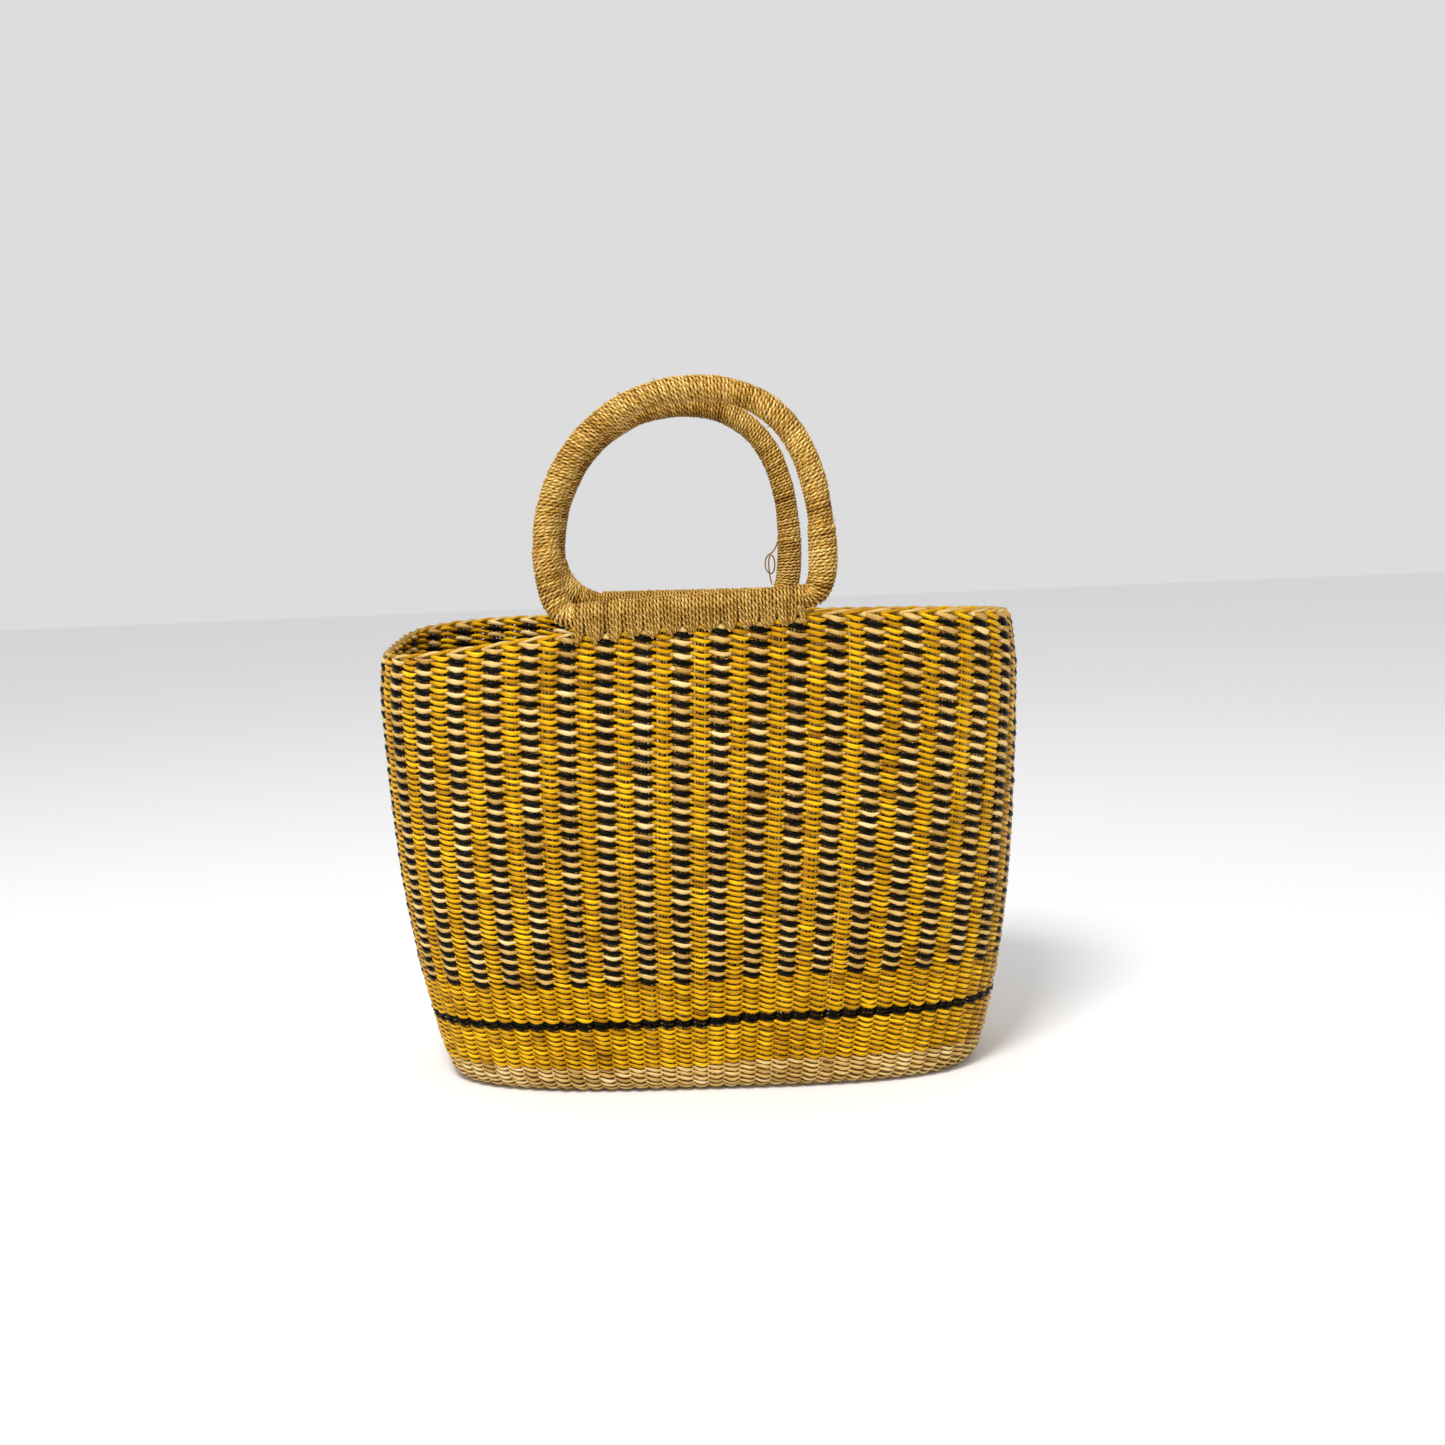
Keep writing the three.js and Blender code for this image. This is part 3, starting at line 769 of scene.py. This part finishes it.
def edging(opposite, salt):
    """A strand of the edging rope: half a turn about the rim line from each stake to the next."""
    count = STAKES * EDGE_STEPS
    around = np.arange(count)[None] / count
    phase = np.pi * (STAKES * around - lean_at(path_at(EDGE_LEVEL))) + (np.pi if opposite else 0)
    centre, tangent, rise, normal = surface_frame(around, path_at(EDGE_LEVEL) + 0 * around)
    centre = centre + normal * (EDGE_OUT * np.cos(phase))[..., None]
    centre = centre + rise * (EDGE_UP * np.sin(phase))[..., None]
    size = np.full(around.shape, EDGE_RADIUS)
    points = section(centre, rise, normal, size, size * EDGE_FLATNESS, SIDES, WEFT_FULLNESS)
    tone = np.clip(0.5 + EDGE_TONE * wave(around, 0, salt), 0, 1)
    length = np.arange(count)[None] * np.linalg.norm(np.diff(centre, axis=1), axis=-1).mean()
    return points, tone, length, np.array([salt * EDGE_OFFSET])


weft("rim_yellow_strand", ["rim_course"], YELLOW, [edging(False, 3)])
weft("rim_natural_strand", [], NATURAL, [edging(True, 4)])

# %% [markdown]
# ## Handles
#
# A handle is a closed hoop wound with cord. Its centre line lies in a plane: a straight bar along
# the rim, round corners, upright legs and an arched top. Above the bar it is four smooth curves,
# so it could be a curve object with a round bevel, but that would be a smooth hose. The cord has
# to be laid round it turn by turn, so the line is worked out as points with their distance along.

# %% Hoop line
LEG_X, LEG_Z = 85 * MM, 38 * MM               # widest point of the hoop, and its height
TOP_X = 8 * MM                                # the arch peaks a little off centre
BAR_RIGHT, BAR_LIFT, BAR_Y = 71 * MM, 6 * MM, 92.5 * MM
CORNER_PULL = 0.4                             # how full the lower corners are
RIGHT_SHOULDER, LEFT_SHOULDER = (0.65, 0.8), (0.55, 0.65)     # shares of the half width and peak
RIGHT_EASE, LEFT_REACH = 2 * MM, 4 * MM
HOOP_STEP = 1.5 * MM                          # distance over which its direction is measured
# pinch is how much thinner a binding starts where it comes out of the lashing.
HOOPS = {
    "front": dict(across=-1, x=1 * MM, tilt=2.5, bar_left=71 * MM, peak=132 * MM, lash_left=69 * MM,
                  pinch=1.6 * MM),
    "back": dict(across=1, x=-21 * MM, tilt=-1.0, bar_left=50 * MM, peak=139 * MM, lash_left=48.5 * MM,
                 pinch=2.6 * MM),
}


def bezier(a, b, c, d, count=80):
    """Points of a cubic curve: (1-t)^3 a + 3 (1-t)^2 t b + 3 (1-t) t^2 c + t^3 d."""
    t = np.linspace(0, 1, count)[:, None]
    a, b, c, d = (np.array(point, dtype=float) for point in (a, b, c, d))
    return (1 - t) ** 3 * a + 3 * (1 - t) ** 2 * t * b + 3 * (1 - t) * t**2 * c + t**3 * d


def joined(parts):
    """Curves end to end as one run of points, without the doubled points where they meet."""
    return np.concatenate([parts[0], *(part[1:] for part in parts[1:])])


def hoop_line(bar_left, peak, **_):
    """Points of a hoop in its own plane, from the right end of its bar round to the left end."""
    corner = CORNER_PULL * LEG_Z
    left_pull = (LEG_X + bar_left) / 2 + LEFT_REACH
    (right_x, right_z), (left_x, left_z) = RIGHT_SHOULDER, LEFT_SHOULDER
    points = joined([
        bezier((BAR_RIGHT, 0), (LEG_X - RIGHT_EASE, 0), (LEG_X, corner), (LEG_X, LEG_Z)),
        bezier((LEG_X, LEG_Z), (LEG_X, right_z * peak), (right_x * LEG_X, peak), (TOP_X, peak)),
        bezier((TOP_X, peak), (-left_x * LEG_X, peak), (-LEG_X, left_z * peak), (-LEG_X, LEG_Z)),
        bezier((-LEG_X, LEG_Z), (-LEG_X, corner), (-left_pull, 0), (-bar_left, 0)),
    ])
    length = np.concatenate([[0], np.cumsum(np.hypot(*np.diff(points, axis=0).T))])
    return points, length


for side, hoop in HOOPS.items():
    hoop["points"], hoop["length"] = hoop_line(**hoop)
    share = (1 + hoop["across"]) / 2
    along = hoop["x"] / (FOOT_HALF[0] + FLARE[0] * flare_share(HEIGHT) - RIM_TUCK)
    tilt, arch, sink = (1 - share) * FRONT_RIM + share * BACK_RIM
    height = HEIGHT + tilt * along - arch * along**2 - sink + BAR_LIFT
    hoop["base"] = np.array([hoop["x"], hoop["across"] * BAR_Y, height])
    print(f"{side} hoop: {hoop['length'][-1] * 1000:.0f} mm of wound line, bar at {height * 1000:.1f} mm")


def hoop_at(hoop, distance):
    """Point of the hoop line in its own plane, and the unit normal in that plane."""

    def place(where):
        return np.stack([np.interp(where, hoop["length"], hoop["points"][:, k]) for k in (0, 1)], -1)

    along = unit(place(distance + HOOP_STEP) - place(distance - HOOP_STEP))
    return place(distance), np.stack([along[..., 1], -along[..., 0]], -1)


def in_place(points, hoop):
    """From the hoop's own plane (x, y across, z up) to the world: tilted, then moved."""
    tilt = math.radians(hoop["tilt"])
    cosine, sine = math.cos(tilt), math.sin(tilt)
    x, y, z = points[..., 0], points[..., 1], points[..., 2]
    return np.stack([cosine * x - sine * z, y, sine * x + cosine * z], -1) + hoop["base"]


# %% [markdown]
# The cord is two-ply, which means two thin yarns twisted together, so its section is not round
# but has two lobes. The lobes turn as the cord goes along, and that makes the slanted grains one
# sees on real rope. With a measured from the turning ply, the radius of a ring is
#
#     r * (1 + lobe * cos(2 a))
#
# A twist painted as bump would be flat at the cord's outline, so each ring has the real shape.

# %% Cord
CORD_PITCH = 2.1 * MM      # from one cord to the next
CORD_RADIUS = 1.12 * MM
CORD_STEP = 1.15 * MM      # from one ring to the next
LOBE = 0.26                # how far the lobes stand out from a round section
PLY_TURN = 8.5 * MM        # length over which the two plies make a full turn
TWIST_WANDER = 0.05        # how unevenly the plies are twisted, in turns for each ring
# Painted shade: a cord is painted darker where it faces its neighbour.
PAINTED_GROOVE_SHADE = 0.45              # how much darker a cord is where it faces its neighbour
CORD_TONE, SLOW_TONE, CORD_SPREAD = 0.62, 0.13, 0.05
SLOW_STEP, SLOW_WAVES = 0.05, 3
# The cord's edge shade is painted shade in the groove between its two plies.
CORD = grass("grass_cord", [(110, 64, 8), (214, 162, 70), (255, 226, 146)], 0.42, (1.0, 0.72, 0.3),
             bump=0.5, tone=0.8, edge=(0.0, 0.35, 0.3))


def cord_axes(centre, hint, closed):
    """Two unit vectors across a cord at each point: one across its hint, and one near the hint."""
    if closed:
        along = np.roll(centre, -1, axis=-2) - np.roll(centre, 1, axis=-2)
    else:
        along = np.gradient(centre, axis=-2)
    along = unit(along)
    side = unit(np.cross(along, hint))
    return side, np.cross(side, along)


def cord_rings(centre, hint, salt, closed=False):
    """Two-lobed rings along a cord, with their tones and the distance along the cord.

    hint points outward on an open cord and towards the next cord on a closed loop. Faces that look
    at the next cord are painted darker, as painted shade in the groove between cords.
    """
    side, up = cord_axes(centre, hint, closed)
    step = np.linalg.norm(np.diff(centre, axis=-2), axis=-1)
    length = np.concatenate([np.zeros(step.shape[:-1] + (1,)), np.cumsum(step, -1)], -1)
    turns = length / PLY_TURN
    if closed:
        whole = length[..., -1:] * centre.shape[-2] / (centre.shape[-2] - 1)
        turns = length / whole * np.round(whole / PLY_TURN)
    source = np.random.default_rng(salt)
    loose = 0 if closed else np.cumsum(source.normal(0, TWIST_WANDER, length.shape), -1)
    twist = 2 * np.pi * (turns + loose + source.uniform(0, 1, length.shape[:-1] + (1,)))
    a = np.arange(SIDES) / SIDES * 2 * np.pi
    reach = CORD_RADIUS * (1 + LOBE * np.cos(2 * a))
    angle = a + twist[..., None]
    points = (centre[..., None, :] + (reach * np.cos(angle))[..., None] * side[..., None, :]
              + (reach * np.sin(angle))[..., None] * up[..., None, :])
    middle = angle + np.pi / SIDES
    beside = (np.sin(middle) if closed else np.cos(middle)) ** 2
    slow = np.cumsum(source.normal(0, SLOW_STEP, length.shape), -1)
    slow = slow - slow.mean(-1, keepdims=True)
    own = source.normal(0, 1, length.shape[:-1] + (1,))
    tone = CORD_TONE + SLOW_TONE * np.sin(slow * SLOW_WAVES) + CORD_SPREAD * own
    return points, np.clip(tone[..., None] - PAINTED_GROOVE_SHADE * beside, 0, 1), length


# %% [markdown]
# A wrap is a helix about the hoop line: centre = line + R (cos(a) n + sin(a) y), where n is the
# line's normal in the hoop's plane, y points across the basket, and a grows by a full turn for
# each winding. Three cords go round together, so the windings slant a little. The bindings on the
# corners are a slightly thicker layer over the foot of each leg, and they start thinner where
# they come out of the lashing. Under all of it runs the bundle of stems that gives the handle its
# stiffness. It shows only as a brown ground between two cords.

# %% Wraps
WRAP_RADIUS, BINDING_RADIUS, BINDING_LENGTH = 8.1 * MM, 8.8 * MM, 50 * MM
LASH_RIGHT, BINDING_STEP = 69 * MM, 1.2 * MM
TUCK = 2 * MM                # the grip's last windings lie under the bindings
WOUND_TOGETHER = 3           # cords laid side by side in one winding
CORD_SINK = 1.05             # depth of a cord's centre under the wrap's surface, in cord radii
LUMPS, LUMP_TONE = 0.35 * MM, 0.16           # the bundle's unevenness, and how it shades the cord
LUMP_WAVES = (70, 133, 211)                  # waves in 2 pi metres of handle
SIDE_WANDER, WANDER_TURNS = 0.18 * MM, 0.37  # cords crowd a little to one side and the other
TAPER_GROWTH, TAPER_POWER = 3, 1.5           # a binding is full after a third of its length
CORD_SHIFT = 0.41            # each cord shows the fibres from this many metres further on


def winding(length, radius):
    """Angle of each cord about the line, [cord, point], and the share of the way along."""
    windings = length / (CORD_PITCH * WOUND_TOGETHER)
    count = int(windings * 2 * np.pi * (radius - CORD_RADIUS) / CORD_STEP)
    share = np.linspace(0, 1, count)
    first = np.arange(WOUND_TOGETHER)[:, None] / WOUND_TOGETHER
    return 2 * np.pi * (windings * share[None] + first), share


def wrap(name, side, start, end, tube_radius, node_name, salt, taper=0):
    """Cords wound round the hoop line between two distances along it.

    taper is -1 or 1 where the wrap grows out of the lashing at its start or its end.
    """
    hoop = HOOPS[side]
    angle, share = winding(end - start, tube_radius)
    distance = start + (end - start) * share
    source = np.random.default_rng(salt)
    lumps = [np.sin(distance * waves + source.uniform(0, 6)) for waves in LUMP_WAVES]
    uneven = sum(lumps) / len(lumps)
    line, normal = hoop_at(hoop, distance[None] + SIDE_WANDER * np.sin(angle * WANDER_TURNS + 1))
    from_lashing = {-1: share, 0: np.ones_like(share), 1: 1 - share}[taper]
    grown = np.clip(from_lashing * TAPER_GROWTH, 0, 1)
    radius = tube_radius - CORD_RADIUS * CORD_SINK + LUMPS * uneven * grown
    radius = radius - hoop["pinch"] * (1 - grown) ** TAPER_POWER
    out = np.stack([normal[..., 0] * np.cos(angle), np.sin(angle), normal[..., 1] * np.cos(angle)], -1)
    centre = np.stack([line[..., 0], 0 * angle, line[..., 1]], -1) + radius[None, :, None] * out
    points, tone, length = cord_rings(centre, out, salt)
    tone = np.clip(tone + LUMP_TONE * uneven[None, :, None], 0, 1)
    offsets = np.arange(WOUND_TOGETHER) * CORD_SHIFT
    piece = tubes(name, in_place(points, hoop), CORD, tone, length, False, offsets)
    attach(piece, f"{side}_handle")
    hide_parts(node_name)


# %% Stem bundles
BUNDLE_RADIUS, BUNDLE_END = 6.4 * MM, 4.6 * MM
BUNDLE_TAPER = 15 * MM       # length over which it narrows to the bar
BUNDLE_RINGS, BUNDLE_SIDES = 120, 16


def bundle(side):
    """The bundle of stems that the cord is wound on, round the hoop from bar end to bar end."""
    hoop = HOOPS[side]
    distance = np.linspace(0, hoop["length"][-1], BUNDLE_RINGS)[None]
    line, normal = hoop_at(hoop, distance)
    centre = np.stack([line[..., 0], 0 * distance, line[..., 1]], -1)
    out = np.stack([normal[..., 0], 0 * distance, normal[..., 1]], -1)
    across = np.broadcast_to(np.array([0.0, -1.0, 0.0]), out.shape)
    from_end = np.minimum(distance, hoop["length"][-1] - distance)
    size = BUNDLE_END + (BUNDLE_RADIUS - BUNDLE_END) * np.clip(from_end / BUNDLE_TAPER, 0, 1)
    points = section(centre, across, out, size, size, BUNDLE_SIDES)
    piece = tubes(f"{side}_stem_bundle", in_place(points, hoop), STALK, 0 * distance, distance, False)
    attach(piece, f"{side}_handle")


# %% Wind the handles
WRAP_SALT = 100

for index, side in enumerate(HOOPS):
    hoop = HOOPS[side]
    salt = WRAP_SALT + 20 * index
    last = hoop["length"][-1]
    start = LASH_RIGHT + BINDING_STEP - BAR_RIGHT
    end = last + hoop["bar_left"] - hoop["lash_left"] - BINDING_STEP
    wrap(f"{side}_right_binding_cord", side, max(start, 0), start + BINDING_LENGTH,
         BINDING_RADIUS, f"{side}_right_binding", salt, taper=-1)
    wrap(f"{side}_left_binding_cord", side, end - BINDING_LENGTH, min(end, last),
         BINDING_RADIUS, f"{side}_left_binding", salt + 1, taper=1)
    wrap(f"{side}_grip_cord", side, start + BINDING_LENGTH - TUCK, end - BINDING_LENGTH + TUCK,
         WRAP_RADIUS, f"{side}_handle_wrap", salt + 2)
    bundle(side)

# %% [markdown]
# The bar of each handle lies on the rim and turns inside its lashing. It is wound with the same
# cord, on a thinner line. The lashing goes over the bar, through the gap between two stakes just
# under the rim, and back. Several loops share one gap, so they fan together towards it, and the
# lower edge of the lashing looks scalloped.

# %% Wound bar
CORE_RADIUS = 5.2 * MM


def bar_cord(side, salt):
    """The winding of the straight bar, inside the lashing: a helix about the X direction."""
    hoop = HOOPS[side]
    whole = BAR_RIGHT + hoop["bar_left"]
    angle, share = winding(whole, CORE_RADIUS)
    out = np.stack([0 * angle, np.sin(angle), np.cos(angle)], -1)
    along = -hoop["bar_left"] + whole * share + 0 * angle
    centre = np.stack([along, 0 * angle, 0 * angle], -1) + (CORE_RADIUS - CORD_RADIUS) * out
    points, tone, length = cord_rings(centre, out, salt)
    piece = tubes(f"{side}_bar_cord", in_place(points, hoop), CORD, tone, length, False)
    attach(piece, f"{side}_handle")
    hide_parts(f"{side}_handle_core")


# %% Lashing
LASHING_TOP = 7.0 * MM       # from the bar's centre to the middle of the cord above it
LASHING_FOOT = 4.5 * MM      # radius of the turn under the rim
LASHING_END = 1.2 * MM       # the first and last loops lie this far past the ends of the solid
FOOT_DROP = 0.9 * MM         # centre of the turn below the edging
GAP_DROP = 1.8 * MM          # loops that dive straight into a gap reach this much lower
FAN_FROM, FAN_LENGTH = 9 * MM, 7 * MM        # below the bar's centre: where the loops fan together
FAN_POWER, FAN_SHARE = 1.5, 0.7              # and how they do it
LOOP_POINTS, LOOP_RINGS = 400, 44
SIZE_SPREAD, DROP_SPREAD = 0.025, 0.5 * MM
LOOP_SHIFT = 0.37            # each loop shows the fibres from this many metres further on
NEAR, NEAR_STAKES = 0.13, 12                 # how far to each side of a handle the rim is measured
GAP_LEVEL = 300 * MM


def even_loop(loop, rings):
    """A closed loop of dense points, given again as points at equal steps along it."""
    loop = np.concatenate([loop, loop[:1]])
    run = np.concatenate([[0], np.cumsum(np.linalg.norm(np.diff(loop, axis=0), axis=1))])
    even_run = np.arange(rings) / rings * run[-1]
    return np.stack([np.interp(even_run, run, loop[:, k]) for k in range(3)], -1)


def rim_places(across):
    """The rim line near one handle as sorted points, and x of the gaps between the stakes there."""
    middle = 0.5 - 0.25 * across     # the front is three quarters of the way round
    near = middle + np.linspace(-NEAR, NEAR, LOOP_POINTS)
    rim = surface(near, path_at(EDGE_LEVEL) + 0 * near)
    stakes = np.round(middle * STAKES) + np.arange(-NEAR_STAKES, NEAR_STAKES)
    gaps = (stakes + 0.5 + lean_at(path_at(EDGE_LEVEL))) / STAKES
    return rim[np.argsort(rim[:, 0])], np.sort(surface(gaps, path_at(GAP_LEVEL) + 0 * gaps)[:, 0])


def lashing(side, salt):
    """Loops round the bar and the rim: two half circles joined by straight sides."""
    hoop = HOOPS[side]
    base, across = hoop["base"], hoop["across"]
    rim, gap_x = rim_places(across)
    count = int(round((LASH_RIGHT + hoop["lash_left"]) / CORD_PITCH))
    x = base[0] + np.linspace(-hoop["lash_left"] - LASHING_END, LASH_RIGHT + LASHING_END, count)
    target = gap_x[np.argmin(np.abs(x[:, None] - gap_x[None]), axis=1)]
    off = np.abs(target - x) / (gap_x[1] - gap_x[0]) * 2
    rough = np.random.default_rng(salt).normal(0, 1, (count, 2))
    rim_y = np.interp(x, rim[:, 0], rim[:, 1])
    rim_z = np.interp(x, rim[:, 0], rim[:, 2]) - FOOT_DROP
    rim_z = rim_z + DROP_SPREAD * rough[:, 1] - GAP_DROP * (1 - off)
    bar_z = base[2] + (x - base[0]) * math.tan(math.radians(hoop["tilt"]))

    t = np.arange(LOOP_POINTS) / LOOP_POINTS * 2 * np.pi
    top = np.sin(t) >= 0
    radius = np.where(top, LASHING_TOP, LASHING_FOOT)[None] * (1 + SIZE_SPREAD * rough[:, :1])
    y = np.where(top, base[1], rim_y[:, None]) + radius * np.cos(t) * across
    z = np.where(top, bar_z[:, None], rim_z[:, None]) + radius * np.sin(t)
    low = np.clip((bar_z[:, None] - FAN_FROM - z) / FAN_LENGTH, 0, 1) ** FAN_POWER
    dense = np.stack([x[:, None] + (target - x)[:, None] * low * FAN_SHARE, y, z], -1)
    centre = np.stack([even_loop(loop, LOOP_RINGS) for loop in dense])
    to_next = np.broadcast_to(np.array([1.0, 0, 0]), centre.shape)
    points, tone, length = cord_rings(centre, to_next, salt, closed=True)
    offsets = np.arange(count) * LOOP_SHIFT
    piece = tubes(f"{side}_lashing_cord", points, CORD, tone, length, True, offsets)
    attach(piece, "basket")
    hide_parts(f"{side}_lashing")


BAR_SALT, LASHING_SALT = 300, 310
for index, side in enumerate(HOOPS):
    bar_cord(side, BAR_SALT + index)
    lashing(side, LASHING_SALT + index)

# %% [markdown]
# Hand work leaves ends. A thin thread hangs loose inside the right leg of the back handle, with a
# curl in it, and short stubs of grass stick out of the wrapping here and there. The thread has a
# shape of its own, so it is four smooth curves laid end to end. The stubs only have to look
# random, so each is a short, bent, tapering fibre at a seeded place.

# %% Loose thread
THREAD_RADIUS, THREAD_FLATNESS, THREAD_TONE = 0.55 * MM, 0.7, 0.3
THREAD_STEP, THREAD_SWAY, THREAD_SIDES = 1.2 * MM, 2 * MM, 5
# Millimetres from the inner side of the leg, and above the middle of the bar.
THREAD_CURVES = [
    ((2, 46), (-1, 39), (-2, 34), (-6, 32), 10),
    ((-6, 32), (-10.5, 30.5), (-11, 20), (-6, 18), 12),
    ((-6, 18), (-2.5, 17), (-1.5, 28), (-4.5, 31), 12),
    ((-4.5, 31), (-7.5, 33), (-8, 22), (-5, 10), 14),
]


def loose_thread():
    """A thread from the leg: down beside it, once round a small upright loop, and down again."""
    hoop = HOOPS["back"]
    flat = joined([bezier(*curve) for curve in THREAD_CURVES]) * MM
    share = np.linspace(0, 1, len(flat))
    x = LEG_X - WRAP_RADIUS + flat[:, 0]
    centre = np.stack([x, THREAD_SWAY * np.sin(2 * np.pi * share), flat[:, 1]], -1)[None]
    along = unit(np.gradient(centre, axis=1))
    side = unit(np.cross(along, np.array([0.0, 1.0, 0.2])))
    size = np.full(centre.shape[:2], THREAD_RADIUS)
    points = section(centre, side, np.cross(side, along), size, size * THREAD_FLATNESS, THREAD_SIDES)
    length = np.arange(centre.shape[1])[None] * THREAD_STEP
    tone = np.full(centre.shape[:2], THREAD_TONE)
    piece = tubes("back_loose_thread", in_place(points, hoop), STALK, tone, length, False)
    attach(piece, "back_handle")


loose_thread()

# %% Stubs
STUB_COUNT, STUB_RINGS, STUB_SIDES = 60, 5, 4
STUB_FREE = 35 * MM          # no stubs this near the ends of the hoop, where they would brush the rim
STUB_ROOT = 0.6 * MM         # depth of a stub's root under the wrap's surface
STUB_SHORT, STUB_LONG = 1.2, 3.2             # how far stubs reach out, in millimetres
STUB_SLANT, STUB_BEND = 1.6, 0.25
STUB_THICK, STUB_TIP = 0.32 * MM, 0.12 * MM
STUB_LENGTH, STUB_TONES = 3 * MM, (0.3, 0.9)


def stubs(side, salt):
    """Short fibres that leave the wrapping at a slant and bend a little."""
    hoop = HOOPS[side]
    source = np.random.default_rng(salt)
    each = (STUB_COUNT, 1)
    distance = source.uniform(STUB_FREE, hoop["length"][-1] - STUB_FREE, each)
    angle = source.uniform(-np.pi, np.pi, each)
    t = np.linspace(0, 1, STUB_RINGS)[None]
    reach = WRAP_RADIUS - STUB_ROOT + source.uniform(STUB_SHORT, STUB_LONG, each) * MM * t
    line, normal = hoop_at(hoop, distance + source.normal(0, STUB_SLANT, each) * MM * t)
    swing = angle + source.normal(0, STUB_BEND, each) * t**2
    centre = np.stack([line[..., 0] + normal[..., 0] * reach * np.cos(swing), reach * np.sin(swing),
                       line[..., 1] + normal[..., 1] * reach * np.cos(swing)], -1)
    along = unit(np.gradient(centre, axis=1))
    across = unit(np.cross(along, np.array([0.3, 0.5, 0.8])))
    size = (STUB_THICK + (STUB_TIP - STUB_THICK) * t) * np.ones(each)
    points = section(centre, across, np.cross(across, along), size, size, STUB_SIDES)
    tone = source.uniform(*STUB_TONES, each) + 0 * t
    length = STUB_LENGTH * t * np.ones(each)
    piece = tubes(f"{side}_stubs", in_place(points, hoop), STALK, tone, length, False)
    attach(piece, f"{side}_handle")


stubs("front", 401)
stubs("back", 402)

# %% [markdown]
# ## Studio
#
# The camera stands in front of the basket, a little above its rim, turned slightly and looking
# down, so that the near rim and the far rim show one above the other. It is placed by turning
# about the upright axis, moving to its spot, tilting down and rolling a little.
#
# The floor is plain pale paper. One square lamp hangs in front, above and to the left, and a white
# world fills the shadows, so that black, yellow and straw all keep their own colour.

# %% Camera
YAW, PITCH, ROLL = math.radians(2.32), math.radians(7.05), math.radians(2.44)
CAMERA_SPOT = Vector((0.0148, -1.1427, 0.3723))
LENS, SENSOR = 42.43, 36     # millimetres
NEAREST = 0.05               # nothing closer than this to the lens is drawn, in metres
camera_data = bpy.data.cameras.new("camera")
camera_data.lens = LENS
camera_data.sensor_width = SENSOR
camera_data.clip_start = NEAREST
camera = bpy.data.objects.new("camera", camera_data)
bpy.context.scene.collection.objects.link(camera)
bpy.context.scene.camera = camera
camera.matrix_world = (Matrix.Rotation(YAW, 4, "Z") @ Matrix.Translation(CAMERA_SPOT)
                       @ Matrix.Rotation(math.pi / 2 - PITCH, 4, "X") @ Matrix.Rotation(-ROLL, 4, "Z"))
print("camera:", [round(v, 3) for v in camera.matrix_world.translation])

# %% Floor and light
FLOOR_SIZE = 12
PAPER, PAPER_ROUGHNESS = (0.9, 0.9, 0.9, 1), 0.9
LAMP_SPOT, LAMP_TARGET = Vector((-0.35, -1.4, 2.0)), Vector((0, 0, 0.2))
LAMP_SIZE, LAMP_POWER, WORLD_STRENGTH = 0.6, 46, 0.72


def floor_sheet():
    """A square sheet of pale paper at z = 0."""
    bpy.ops.mesh.primitive_plane_add(size=FLOOR_SIZE)
    floor = bpy.context.object
    floor.name = "floor"
    paper = bpy.data.materials.new("paper")
    paper.use_nodes = True
    shader = paper.node_tree.nodes["Principled BSDF"]
    shader.inputs["Base Color"].default_value = PAPER
    shader.inputs["Roughness"].default_value = PAPER_ROUGHNESS
    floor.data.materials.append(paper)


def key_lamp():
    """A square soft lamp that looks at the middle of the basket."""
    data = bpy.data.lights.new("key", "AREA")
    data.shape = "SQUARE"
    data.size = LAMP_SIZE
    data.energy = LAMP_POWER
    made = bpy.data.objects.new("key", data)
    made.location = LAMP_SPOT
    made.rotation_euler = (LAMP_TARGET - LAMP_SPOT).to_track_quat("-Z", "Y").to_euler()
    bpy.context.scene.collection.objects.link(made)


floor_sheet()
key_lamp()
world = bpy.data.worlds.new("studio")
bpy.context.scene.world = world
world.use_nodes = True
world.node_tree.nodes["Background"].inputs["Color"].default_value = (1, 1, 1, 1)
world.node_tree.nodes["Background"].inputs["Strength"].default_value = WORLD_STRENGTH
bpy.context.scene.view_settings.view_transform = "Standard"
